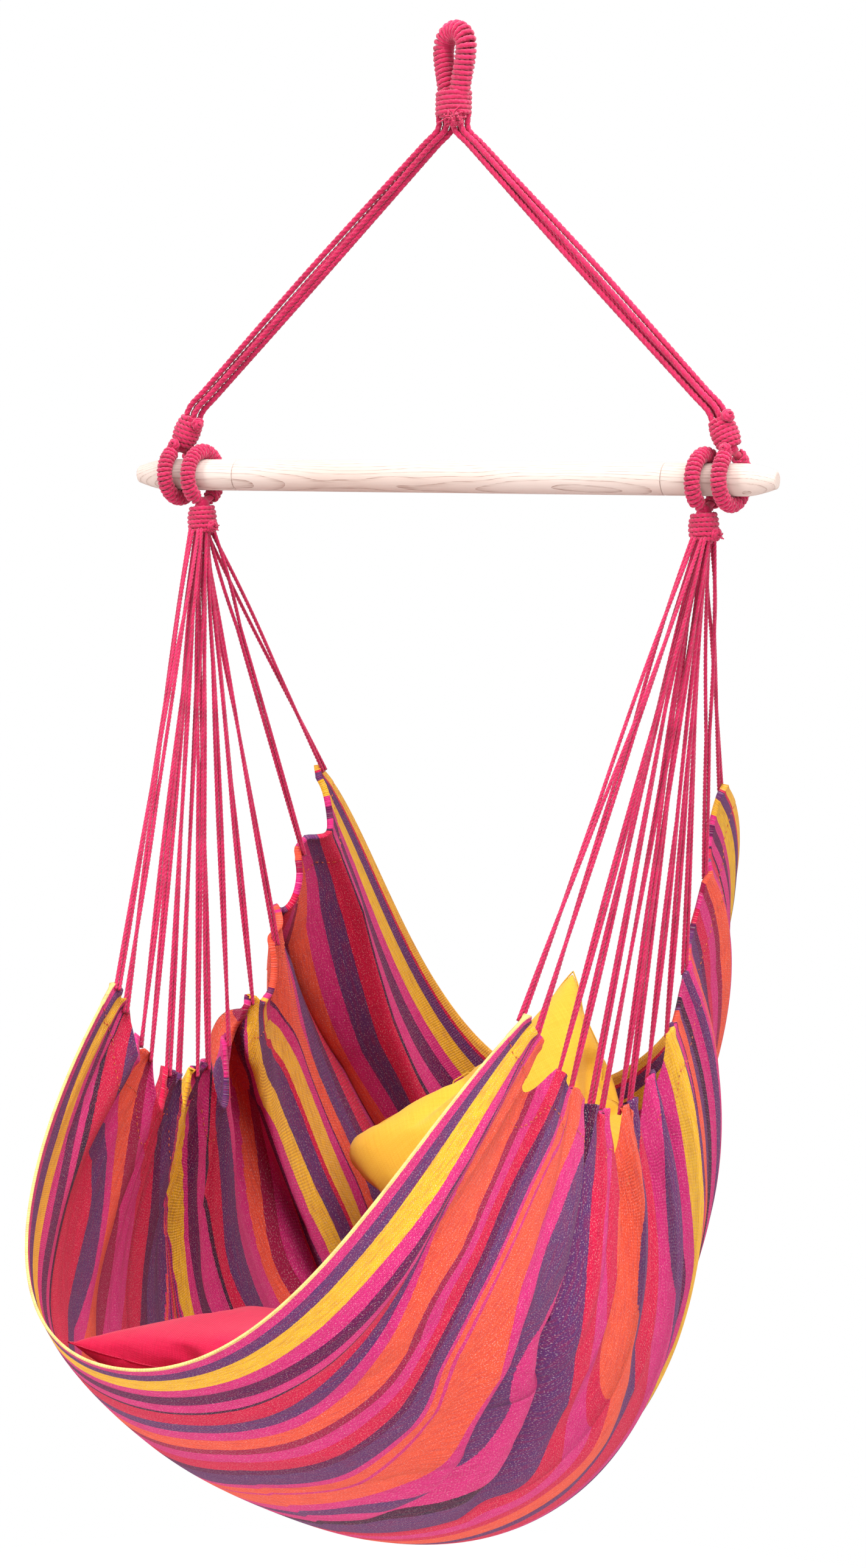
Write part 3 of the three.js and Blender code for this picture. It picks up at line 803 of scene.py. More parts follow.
@dataclass(frozen=True)
class StripedClothFinish(ClothFinish):
    """Coarse striped cotton: each panel's stripes are counted from its own outer edge."""

    threads: float = 620.0
    depth: float = 0.00045
    faded: Colour = (0.9, 0.75, 0.7, 1.0)

    # The band in which the stripes' borders wander, and how much the crimson weft shows over them
    unevenness: float = 0.0012
    weft: float = 0.08

    # Scales of the flecks and slubs, along the stripes and across them
    flecks: tuple[float, float, float] = (500.0, 900.0, 1.0)
    slubs: tuple[float, float, float] = (45.0, 420.0, 1.0)

    def bands(
        self, w: Wiring, table: Sequence[tuple[Dye, float]], place: Any
    ) -> bpy.types.NodeSocket:
        """The colours of a run of stripes, repeated along a place in metres."""
        total = sum(width for _, width in table)
        stops, done = [], 0.0
        for dye, width in table:
            stops.append((done / total, dye.value))
            done += width
        return w.ramp(w.number("FRACT", w.number("DIVIDE", place, total)), stops)

    def striped(self, w: Wiring, jitter: Any) -> bpy.types.NodeSocket:
        """The stripes of both panels with their edge bands.

        Args:
            w: the material's wiring.
            jitter: a small uneven shift of the stripes' borders.

        Returns:
            The stripes' colour.
        """
        layer = w.add("ShaderNodeAttribute", attribute_name="stripe").outputs["Vector"]
        parts = w.add("ShaderNodeSeparateXYZ", {0: layer}).outputs
        is_back = w.number("GREATER_THAN", parts[2], 0.0)
        gap = w.number("SUBTRACT", parts[1], parts[0])
        place = w.number("ADD", w.number("MULTIPLY_ADD", gap, is_back, parts[0]), jitter)
        place = w.number("MAXIMUM", place, 0.0)
        band = sum(width for _, width in FRONT_BAND)
        body = self.bands(w, STRIPES, w.number("SUBTRACT", place, band))
        front, back = self.bands(w, FRONT_BAND, place), self.bands(w, BACK_BAND, place)
        edge = w.mixed(is_back, front, back)
        edged = w.mixed(w.number("LESS_THAN", place, band), body, edge)
        beyond = w.number("ADD", parts[2], jitter)
        near = w.number("LESS_THAN", beyond, sum(width for _, width in SEAM_BAND))
        seam = self.bands(w, SEAM_BAND, beyond)
        return w.mixed(w.number("MULTIPLY", near, is_back), edged, seam)

    def material(self) -> bpy.types.Material:
        """The sling's material."""
        material, w, shader = self.start()
        place, weave = self.weave(w)
        uneven = w.number("SUBTRACT", w.noise(place, 260.0, 1.0), 0.5)
        jitter = w.number("MULTIPLY", uneven, self.unevenness)
        weft = w.number("MULTIPLY", weave["Cross"], self.weft)
        crossed = w.mixed(weft, self.striped(w, jitter), Dye.CRIMSON.value)
        # Painted shade: the low places of the weave, between the threads, are darkened towards dark
        # yarn
        shaded_weave = w.mixed(w.spread(weave["Height"], 0.1, 0.6, (0.22, 0.0)), crossed, Dye.DARK.value)
        fleck = w.noise(w.scaled(place, *self.flecks), 1.0, 2.0)
        colour = w.mixed(w.spread(fleck, 0.56, 0.74, (0.0, 0.45)), shaded_weave, self.faded)
        slubs = w.noise(w.scaled(place, *self.slubs), 1.0, 3.0)
        colour = w.mixed(w.spread(slubs, 0.42, 0.68, (0.0, 0.34)), colour, Dye.CRIMSON.value)
        self.finished(w, shader, weave, colour)
        return material


# Each cord's deep colour also serves as painted shade in the grooves between its fibres
ROPE_RED = dict(colour=paint(206, 34, 88), deep=paint(128, 8, 42), pale=paint(236, 116, 154))
ROPE = YarnFinish("Rope cotton", 0.9, 0.25, 0.2, **ROPE_RED)
WHIPPING = YarnFinish("Whipping cord", 0.88, 0.3, 0.22, fineness=1.2, **ROPE_RED)
THREAD = YarnFinish(
    "Hem thread",
    0.7,
    0.2,
    0.3,
    colour=paint(235, 110, 60),
    deep=paint(170, 60, 30),
    pale=paint(250, 190, 140),
    fineness=2.0,
    depth=0.0001,
)
WOOD = WoodFinish(
    "Bar wood",
    0.62,
    0.0,
    0.3,
    colour=paint(208, 192, 184),
    band=paint(192, 166, 154),
    pore=paint(124, 86, 70),
)
SEAT_COVER = PlainClothFinish(
    "Seat cover cotton",
    0.9,
    0.25,
    0.15,
    colour=paint(226, 26, 80),
    shade=paint(194, 10, 58),
    pale=paint(236, 96, 116),
    depth=0.0002,
)
BACK_COVER = PlainClothFinish(
    "Back cover cotton",
    0.9,
    0.2,
    0.15,
    colour=paint(250, 198, 64),
    shade=paint(238, 172, 38),
    pale=paint(255, 226, 140),
    depth=0.0002,
)


# Ropes and windings

LOOP_STEPS = 22
NECK_STEPS = 44

# Corners of the plug that fills a neck
PLUG_FACETS = 24

POINTS_PER_LAY = 8


@dataclass(frozen=True)
class Winding:
    """A twisted cord wound close round a core, out to a reach that may shrink towards its ends."""

    reach: float
    turns: int
    cord: Section
    steps: int
    waist: float = 0.0

    def shell(self, place: Place, hand: int = 1) -> Shell:
        """The wound cord.

        Args:
            place: the core's middle line with two directions across it, for shares of its length.
            hand: 1 or -1, the way that the winding turns.

        Returns:
            The winding's surface.
        """
        steps = self.steps
        count = self.turns * steps
        number = np.arange(count + 1)
        angle = hand * TURN * (number - count / 2) / steps
        centre, inward, across = place(number / count)
        out = inward * np.cos(angle)[:, None] + across * np.sin(angle)[:, None]
        reach = self.reach * (1 - self.waist * (2 * number / count - 1) ** 2)
        path = centre + out * (reach - self.cord.radius)[:, None]
        return sweep(path, out, self.cord)


def upright_place(low: float, high: float) -> Place:
    """The place function of a straight stretch of the Z axis between two heights."""

    def place(share: np.ndarray) -> tuple[np.ndarray, np.ndarray, np.ndarray]:
        """Middle line and directions of the stretch at some shares."""
        zero = np.zeros_like(share)
        centre = np.stack([zero, zero, low + (high - low) * share], axis=1)
        return centre, tiled((0, -1, 0), len(share)), tiled((1, 0, 0), len(share))

    return place


def points_along(length: float, lay: float) -> int:
    """How many points a twisted strand of some length takes."""
    return int(length / (lay / POINTS_PER_LAY))


def fibre_tuft(centre: Vector, way: Vector, size: float, count: int, seed: int) -> list[Shell]:
    """Short curled threads that stick out of a cut rope end.

    Args:
        centre: where the threads come out.
        way: the way that they point.
        size: how long they are.
        count: how many there are.
        seed: the seed of their curls.

    Returns:
        One shell for each thread.
    """
    rng = np.random.default_rng(seed)
    thread = Section(0.0009, plies=2, groove=0.2, corners=3, lay=0.006)
    shells = []
    for _ in range(count):
        lean = Vector(rng.normal(0, 0.75, 3).tolist())
        main = (way + lean).normalized()
        root = centre + Vector((rng.normal(0, 0.22, 3) * size).tolist())
        side = main.orthogonal().normalized()
        side.rotate(Matrix.Rotation(rng.uniform(0, TURN), 3, main))
        length = size * rng.uniform(0.45, 1.0)
        curl = length * rng.uniform(0.25, 0.7)
        knots = [
            root,
            root + main * length * 0.4 + side * curl * 0.6,
            root + main * length * 0.75 + side * curl,
            root + main * length * rng.uniform(0.35, 1.0) + side * curl * rng.uniform(1.0, 1.7),
        ]
        path = smooth_route([tuple(knot) for knot in knots], 12)
        shells.append(sweep(path, carried_outward(path, tuple(side)), thread))
    return shells


def coil_knot(centre: Vector, face: Vector, radius: float, cord: Section) -> Shell:
    """A rope end coiled into a small rose.

    Args:
        centre: the middle of the rose.
        face: the way that it faces.
        radius: its outer radius.
        cord: the cord's section.

    Returns:
        The coiled cord.
    """
    turns, count, closing, rise = 2.2, 64, 0.82, 1.6
    share = np.linspace(0, 1, count)
    angle = TURN * turns * share
    reach = (radius - cord.radius) * (1 - closing * share)
    first = np.array(face.orthogonal().normalized())
    facing = np.array(face.normalized())
    second = np.cross(facing, first)
    dome = rise * cord.radius * share**1.5
    round_it = reach[:, None] * (np.cos(angle)[:, None] * first + np.sin(angle)[:, None] * second)
    path = np.array(centre) + round_it + dome[:, None] * facing
    return sweep(path, tiled(face, count), cord)


@dataclass
class Eye:
    """The whipped rope loop at the top, its neck and its frayed tail."""

    core_radius: float = 0.0048
    opening_height: float = 0.060
    arch: float = 0.0209
    leg_radius: float = 0.01063
    throat_width: float = 0.017
    turn: float = math.radians(-28)
    reach: float = 0.0126
    turns: int = 30
    neck_reach: float = 0.0212
    neck_height: float = 0.029
    neck_turns: int = 5
    sunk: float = 0.018
    wound: tuple[float, float] = (0.015, 0.985)
    plug_radii: tuple[float, float] = (0.008, 0.0165)
    plug_top: float = -0.064
    tail: tuple[float, float] = (0.0085, -0.0175)
    tuft_size: float = 0.014
    tuft_threads: int = 50
    rose_radius: float = 0.0085
    cord: Section = Section(0.0031, plies=2, groove=0.3, corners=5, lay=0.013)

    def line(self) -> np.ndarray:
        """The loop's middle line, from one throat over its arch to the other."""
        throat = -self.opening_height - self.core_radius
        knots = [(-self.throat_width / 2, 0.0, throat)]
        for i in range(-3, 4):
            angle = math.pi / 2 * i / 3
            drop = self.arch * (1 - math.cos(angle))
            knots.append((self.arch * math.sin(angle), 0.0, self.leg_radius - drop))
        knots.append((self.throat_width / 2, 0.0, throat))
        return smooth_route(knots, 200)

    def place(self, share: np.ndarray) -> tuple[np.ndarray, np.ndarray, np.ndarray]:
        """Middle line and directions of the loop at some shares of its wound part."""
        line = self.line()
        first, last = self.wound
        at = (first + (last - first) * share) * (len(line) - 1)
        index = np.arange(len(line))
        centre = np.stack([np.interp(at, index, line[:, axis]) for axis in range(3)], axis=1)
        ahead = unit(np.gradient(centre, axis=0))
        across = tiled((0, 1, 0), len(share))
        return centre, -np.cross(ahead, across), across

    def build(self, rope: bpy.types.Material, whip: bpy.types.Material) -> None:
        """Builds and dresses the eye's pieces.

        Args:
            rope: the rope's material.
            whip: the whipping cord's material.
        """
        turned = Matrix.Rotation(self.turn, 4, "Z")
        neck_low = -self.opening_height - self.neck_height
        line = self.line()
        below = [[0, 0, -self.sunk]]
        core_path = np.vstack([line[:1] + below, line, line[-1:] + below])
        core = sweep(core_path, tiled((0, 1, 0), len(core_path)), core_section(self.core_radius))
        thin, thick = self.plug_radii
        rings = [(thin, neck_low), (thick, neck_low + 0.001)]
        rings += [(thick, self.plug_top), (thin, -self.opening_height)]
        loop = Winding(self.reach, self.turns, self.cord, LOOP_STEPS).shell(self.place)
        wound = upright_place(neck_low + self.cord.radius, -self.opening_height + 0.001)
        neck = Winding(self.neck_reach, self.neck_turns, self.cord, NECK_STEPS).shell(wound)
        root = Vector((*self.tail, neck_low))
        tuft = fibre_tuft(root, Vector((0.4, -0.5, -0.9)), self.tuft_size, self.tuft_threads, 5)
        face = Vector((0.7, -0.7, -0.1))
        knot = coil_knot(root + Vector((0, 0, -0.004)), face, self.rose_radius, self.cord)
        ropes = [moved(core, turned), moved(upright(lathe(rings, PLUG_FACETS)), turned)]
        for name, shells, material, slot, node in (
            ("eye_rope", ropes, rope, Slot.ROPE, "eye_rope_core"),
            ("eye_loop_whipping", [moved(loop, turned)], whip, Slot.WHIPPING, "eye_whipping"),
            ("eye_neck_binding", [moved(neck, turned)], whip, Slot.WHIPPING, "eye_neck_whipping"),
            ("eye_frayed_tail", [*tuft, knot], whip, Slot.ROPE, "eye_tail_knot"),
        ):
            add_piece(name, shells, material, Body.SUSPENSION, slot, node)


@dataclass
class WhippedEnd:
    """A rope ring round the bar with its winding and its wound neck."""

    name: str
    body: Body
    centre: tuple[float, float, float]
    side: Side
    lean: float = 0.0
    upside_down: bool = False
    core_radius: float = 0.003
    radius: float = 0.0290
    reach: float = 0.0096
    turn: float = math.radians(-10)
    turns: int = 33
    bare_angle: float = math.radians(30)
    neck_reach: float = 0.0165
    neck_from: float = 0.007
    neck_end: float = NECK_END
    neck_turns: int = 6
    waist: float = 0.16
    cord: Section = Section(0.0027, plies=2, groove=0.3, lay=0.0115)
    neck_cord: Section = Section(0.0030, plies=2, groove=0.3, lay=0.0115)
    roses: tuple[tuple[float, float, float], ...] = ((0.009, 0.0145, 0.037), (-0.008, 0.013, 0.004))
    rose_radius: float = 0.0092
    tuft_threads: int = 16
    sight: float = math.radians(24)

    def ring_place(self, share: np.ndarray) -> tuple[np.ndarray, np.ndarray, np.ndarray]:
        """Middle line and directions of the ring at some shares of its wound part."""
        angle = self.bare_angle + (TURN - 2 * self.bare_angle) * share
        zero = np.zeros_like(angle)
        outward = np.stack([zero, np.sin(angle), np.cos(angle)], axis=1)
        return outward * self.radius, -outward, tiled((1, 0, 0), len(share))

    def frame(self) -> Matrix:
        """The ring's place in the chair."""
        placed = Matrix.Translation(Vector(self.centre))
        return placed @ Matrix.Rotation(math.pi, 4, "X") if self.upside_down else placed

    def ring_frame(self) -> Matrix:
        """The ring's place with its small turn on the bar."""
        return self.frame() @ Matrix.Rotation(-self.turn if self.upside_down else self.turn, 4, "Z")

    def neck_frame(self) -> Matrix:
        """The neck's place in the chair, with its foot on the ring's top."""
        raised = Matrix.Translation(Vector((0, 0, self.radius)))
        return self.frame() @ raised @ Matrix.Rotation(self.lean, 4, "Y")

    def build(self, rope: bpy.types.Material, whip: bpy.types.Material) -> None:
        """Builds and dresses the ring, its winding and its neck.

        Args:
            rope: the rope's material.
            whip: the whipping cord's material.
        """
        angle = np.linspace(0, TURN, 97)
        outward = np.stack([np.zeros_like(angle), np.sin(angle), np.cos(angle)], axis=1)
        ring = sweep(outward * self.radius, outward, core_section(self.core_radius * 1.5))
        inner = (self.neck_reach - 2 * self.neck_cord.radius) * (1 - self.waist) + 0.0006
        profile = [
            (0.004, -0.003),
            (0.008, 0.0),
            (inner * 0.8, self.neck_from * 0.7),
            (inner, self.neck_from + 0.004),
            (inner, self.neck_end - 0.001),
            (inner * 0.7, self.neck_end),
        ]
        plug = upright(lathe(profile, PLUG_FACETS))
        ropes = [moved(ring, self.ring_frame()), moved(plug, self.neck_frame())]
        name, body = self.name, self.body
        add_piece(name + "_rope", ropes, rope, body, Slot.ROPE, name + "_loop_core")
        wound = Winding(self.reach, self.turns, self.cord, LOOP_STEPS).shell(self.ring_place, -1)
        rings = [moved(wound, self.ring_frame())]
        add_piece(name + "_ring_binding", rings, whip, body, Slot.WHIPPING, name + "_loop_whipping")
        place = upright_place(self.neck_from, self.neck_end - self.neck_cord.radius)
        winding = Winding(self.neck_reach, self.neck_turns, self.neck_cord, NECK_STEPS, self.waist)
        near = Vector((math.sin(self.sight), -math.cos(self.sight), 0))
        if self.upside_down:
            near.y = -near.y
        right = Vector((abs(near.y), near.x if near.y < 0 else -near.x, 0))
        shells = [winding.shell(place)]
        for number, (aside, ahead, up) in enumerate(self.roses):
            centre = right * aside + near * ahead + Vector((0, 0, up))
            face = near + right * (0.5 if aside > 0 else -0.5) + Vector((0, 0, 0.2))
            shells.append(coil_knot(centre, face.normalized(), self.rose_radius, self.neck_cord))
            if self.upside_down:
                threads = self.tuft_threads
                shells += fibre_tuft(centre, face.normalized(), self.rose_radius, threads, number)
        bound = [moved(shell, self.neck_frame()) for shell in shells]
        add_piece(name + "_neck_binding", bound, whip, body, Slot.WHIPPING, name + "_neck_whipping")


@dataclass
class Bar:
    """The spreader bar: a middle length and two ends with long rounded tapers."""

    drop: float = BAR_DROP
    length: float = 0.8
    radius: float = 0.01825
    tip_radius: float = 0.0105
    tip_round: float = 0.003
    taper: float = 0.036
    end_length: float = 0.132
    seam: float = 0.0003
    seam_round: float = 0.0012
    facets: int = 72

    def build(self, wood: bpy.types.Material) -> None:
        """Builds and dresses the three lengths of the bar.

        Args:
            wood: the wood's material.
        """
        joint = self.length / 2 - self.end_length
        tip = self.length / 2
        inner = self.radius - self.seam_round
        shoulder = self.radius - 0.0003
        middle = [
            (0.001, -joint),
            (inner, -joint),
            (shoulder, -joint + 0.0004),
            (self.radius, -joint + self.seam_round),
        ]
        middle += [(self.radius, x) for x in np.linspace(-joint + 0.01, joint - 0.01, 24)]
        middle += [(r, -x) for r, x in reversed(middle[:4])]
        start = joint + self.seam
        end = [(0.001, start), (inner, start), (shoulder, start + 0.0004)]
        end.append((self.radius, start + self.seam_round))
        for share in np.linspace(0, 1, 14):
            fall = (self.radius - self.tip_radius) * share**1.5
            x = tip - self.taper + (self.taper - self.tip_round) * share
            end.append((self.radius - fall, x))
        for share in np.linspace(0.15, 1, 7):
            angle = math.pi / 2 * share
            shrink = self.tip_round * (1 - math.cos(angle))
            end.append((self.tip_radius - shrink, tip - self.tip_round * (1 - math.sin(angle))))
        end.append((0.001, tip))
        raised = Matrix.Translation(Vector((0, 0, -self.drop)))
        trunk = moved(lathe(middle, self.facets), raised)
        add_piece("bar_middle_wood", [trunk], wood, Body.BAR, Slot.WOOD, "bar_middle")
        right = lathe(end, self.facets)
        turned = [face[::-1] for face in right.faces]
        mirrored = Shell(right.points * [-1, 1, 1], turned, right.layer)
        for side, shell in ((Side.RIGHT, right), (Side.LEFT, mirrored)):
            name, node = "bar_tip_" + side.word, "bar_end_" + side.word
            add_piece(name, [moved(shell, raised)], wood, Body.BAR, Slot.WOOD, node)


@dataclass
class Yoke:
    """The twisted strands from the eye's neck to the upper rings."""

    strand_radius: float = 0.0035
    spacing: float = 0.0048
    spread: float = 0.0064
    stagger: float = 0.0034
    top_middle: float = 0.0098
    neck_bottom: float = -0.0893
    section: Section = Section(0.0037, lay=0.022)

    def strand(self, end: WhippedEnd, index: int) -> Shell:
        """One strand on one side.

        Args:
            end: the whipped end that it leaves.
            index: its number, from 0.

        Returns:
            The strand's surface.
        """
        sign = end.side.value
        column = index - 1.5
        y = self.stagger if index % 2 else -self.stagger
        frame_of_neck = end.neck_frame()
        across = frame_of_neck.to_3x3() @ Vector((1, 0, 0))
        axis = frame_of_neck.to_3x3() @ Vector((0, 0, 1))
        low = frame_of_neck @ Vector((0, 0, end.neck_end - 0.004))
        low = low + across * (column * self.spacing)
        low.y = y
        top = Vector((sign * (self.top_middle + column * sign * self.spacing), y, self.neck_bottom))
        bend = 3 * self.strand_radius
        low_bend = low + axis * (bend + 0.004)
        top_bend = top - Vector((0, 0, bend))
        wobble = 0.0008 * math.sin(2.1 * index + sign)
        slack = across * (wobble + column * (self.spread - self.spacing))
        slack += Vector((0, 0.5 * wobble - 0.6 * y, 0))
        knots = [low, low_bend, low_bend.lerp(top_bend, 0.06), low_bend.lerp(top_bend, 0.5) + slack]
        knots += [low_bend.lerp(top_bend, 0.94), top_bend, top + Vector((0, 0, 0.006))]
        count = points_along((top - low).length, self.section.lay)
        path = smooth_route([tuple(knot) for knot in knots], count)
        return sweep(path, carried_outward(path, (0, 1, 0)), self.section, phase=1.7 * index)

    def build(self, ends: Sequence[WhippedEnd], rope: bpy.types.Material) -> None:
        """Builds and dresses the strands above some whipped ends."""
        for end in ends:
            for index in range(4):
                word = f"{end.side.word}_{index + 1}"
                strand = [self.strand(end, index)]
                node = "yoke_strand_" + word
                add_piece("yoke_rope_" + word, strand, rope, Body.SUSPENSION, Slot.ROPE, node)


# Sling, its hem and its fans of cords

# Places along the hem where a cord meets it, as shares from the front edge to the back edge
HEM_SHARES = (0, 0.045, 0.13, 0.18, 0.265, 0.315, 0.405, 0.455, 0.55, 0.66, 0.77, 0.9, 1)

# Control points from the hem to the middle line, as shares of half width, reach and drop.
# The first and last rows are a fit to the photograph made by another script, rounded. The two
# between them are such a fit, rounded and then moved.
SLING_SHARES = (
    ((0.78, -0.43, -0.458), (0.67, -0.743, -0.543), (0.59, -1, -0.715), (0, -1, -0.715)),
    ((0.89, -0.165, -0.64), (1.52, -0.27, -1.01), (0.8, -0.63, -0.863), (0, -0.63, -0.863)),
    ((0.855, 0.095, -0.58), (1.36, 0.24, -0.9), (0.42, 0.56, -1.333), (0, 0.56, -1.333)),
    ((0.845, 0.31, -0.284), (0.87, 0.545, -0.35), (0.58, 0.547, -0.606), (0, 0.547, -0.606)),
)


@dataclass(frozen=True)
class Fold:
    """A long fold: how far it swells, how far its sides step apart and lie over each other.

    The line holds row share, place from the front edge and strength. Outward is positive.
    """

    side: Side
    line: tuple[tuple[float, float, float], ...]
    depth: float
    lap: float
    width: float
    over: float = 0.0

    def moves(self, row_share: np.ndarray, v: np.ndarray) -> tuple[np.ndarray, np.ndarray]:
        """How far the fold moves points of the cloth outward, and towards the back edge.

        Args:
            row_share: shares from the cut hem to the middle line.
            v: shares from the front edge to the back edge.

        Returns:
            The two distances for each point.
        """
        rows, places, strengths = zip(*self.line)
        aside = (v - np.interp(row_share, rows, places)) / self.width
        strength = np.interp(row_share, rows, strengths)
        swell = strength * np.exp(-(aside**2) / 2)
        step = swell * aside * math.exp(0.5)
        return swell * self.depth - step * self.lap, -step * self.over


# The folds that show, each from the hem towards the middle line
FOLDS = (
    Fold(
        Side.RIGHT,
        ((0, 0.036, 0.6), (0.32, 0.05, 1), (0.45, 0.066, 0.9), (0.63, 0.08, 0.5), (0.85, 0.09, 0)),
        depth=0, lap=0.009, width=0.011,
    ),
    Fold(
        Side.RIGHT,
        (
            (0, 0.2225, 1), (0.1, 0.228, 1), (0.3, 0.234, 1),
            (0.42, 0.27, 0.8), (0.55, 0.32, 0.4), (0.75, 0.39, 0),
        ),
        depth=-0.056, lap=0.022, width=0.018, over=0.038,
    ),
    Fold(
        Side.RIGHT,
        (
            (0.2, 0.172, 0), (0.36, 0.192, 0.6), (0.45, 0.21, 1),
            (0.58, 0.25, 1), (0.7, 0.283, 1), (0.9, 0.34, 0),
        ),
        depth=0, lap=0.007, width=0.014, over=0.02,
    ),
    Fold(
        Side.RIGHT,
        ((0, 0.62, 1), (0.2, 0.61, 1), (0.4, 0.62, 0.5), (0.6, 0.64, 0)),
        depth=-0.006, lap=-0.006, width=0.018,
    ),
    Fold(
        Side.RIGHT,
        ((0, 0.39, 1), (0.3, 0.38, 1), (0.6, 0.45, 0)),
        depth=0.01, lap=0, width=0.026,
    ),
    Fold(
        Side.RIGHT,
        ((0, 0.45, 1), (0.3, 0.44, 1), (0.6, 0.5, 0)),
        depth=-0.01, lap=0, width=0.018,
    ),
    Fold(
        Side.LEFT,
        ((0, 0.37, 1), (0.11, 0.438, 1), (0.2, 0.458, 1), (0.4, 0.45, 0.6), (0.6, 0.44, 0)),
        depth=0.014, lap=0, width=0.018,
    ),
    Fold(
        Side.LEFT,
        ((0, 0.605, 0.8), (0.07, 0.645, 1), (0.17, 0.688, 1), (0.43, 0.68, 0.6), (0.6, 0.67, 0)),
        depth=0.04, lap=0, width=0.024,
    ),
    Fold(
        Side.LEFT,
        (
            (0, 0.64, 0.6), (0.07, 0.68, 1), (0.18, 0.722, 1),
            (0.4, 0.74, 1), (0.6, 0.72, 0.4), (0.8, 0.7, 0),
        ),
        depth=0, lap=0.016, width=0.018, over=0.032,
    ),
    Fold(
        Side.LEFT,
        ((0, 0.835, 0.6), (0.15, 0.87, 1), (0.42, 0.89, 1), (0.6, 0.885, 0.7), (0.8, 0.87, 0)),
        depth=0.05, lap=0.012, width=0.022, over=0.03,
    ),
    Fold(
        Side.LEFT,
        ((0, 0.93, 0.3), (0.2, 0.935, 1), (0.5, 0.93, 1), (0.75, 0.92, 0)),
        depth=-0.03, lap=0.008, width=0.018, over=0.012,
    ),
    Fold(
        Side.RIGHT,
        ((0, 0.83, 0.3), (0.15, 0.86, 1), (0.5, 0.88, 1), (0.8, 0.86, 0)),
        depth=-0.016, lap=0, width=0.024,
    ),
    Fold(
        Side.LEFT,
        ((0, 0.155, 1), (0.25, 0.16, 0.8), (0.6, 0.2, 0)),
        depth=0.012, lap=0, width=0.022,
    ),
    Fold(
        Side.LEFT,
        ((0, 0.29, 1), (0.25, 0.3, 0.8), (0.6, 0.31, 0)),
        depth=-0.01, lap=0, width=0.022,
    ),
)


# Distance in metres, and where it lies at each of the rows, as a share from the front edge
Lines = tuple[tuple[float, tuple[float, ...]], ...]


@dataclass(frozen=True)
class StripeLay:
    """Where the stripes lie: lines of equal distance past the seam and from the front edge."""

    side: Side
    seam_lines: Lines
    lines: Lines
    rows: tuple[float, ...] = (0, 0.05, 0.1, 0.15, 0.2, 0.3, 0.4, 0.5, 0.6, 0.8, 1)
    blur: float = 0.035
    margin: float = 0.1

    def smoothed(self, row_share: float, values: Sequence[float]) -> float:
        """A value at a row share, averaged over the rows close by."""
        near = np.clip(row_share + self.blur * np.linspace(-1, 1, 5), 0, 1)
        return float(np.interp(near, self.rows, values).mean())

    def placed(self, row_share: float, v: np.ndarray, lines: Lines) -> np.ndarray:
        """Distances along one row, between the lines and a little beyond them."""
        places = np.maximum.accumulate([self.smoothed(row_share, values) for _, values in lines])
        rising = places + 1e-5 * np.arange(len(places))
        metres = [metre for metre, _ in lines]
        past = self.margin * 1.3
        return np.interp(
            v,
            [rising[0] - self.margin, *rising, rising[-1] + self.margin],
            [metres[0] - past, *metres, metres[-1] + past],
        )

    def layer(self, row_share: np.ndarray, v: np.ndarray, along: np.ndarray) -> np.ndarray:
        """Front place, back place and distance past the seam, in metres.

        Args:
            row_share: the rows' shares from the cut hem to the middle line.
            v: the columns' shares from the front edge to the back edge.
            along: distance of each column from the front edge.

        Returns:
            The three numbers for each row and column.
        """
        result = []
        for share in row_share:
            front = self.placed(share, v, self.lines)
            past = self.placed(share, v, self.seam_lines)
            result.append(np.stack([front, along[-1] - along, past], axis=-1))
        return np.array(result)
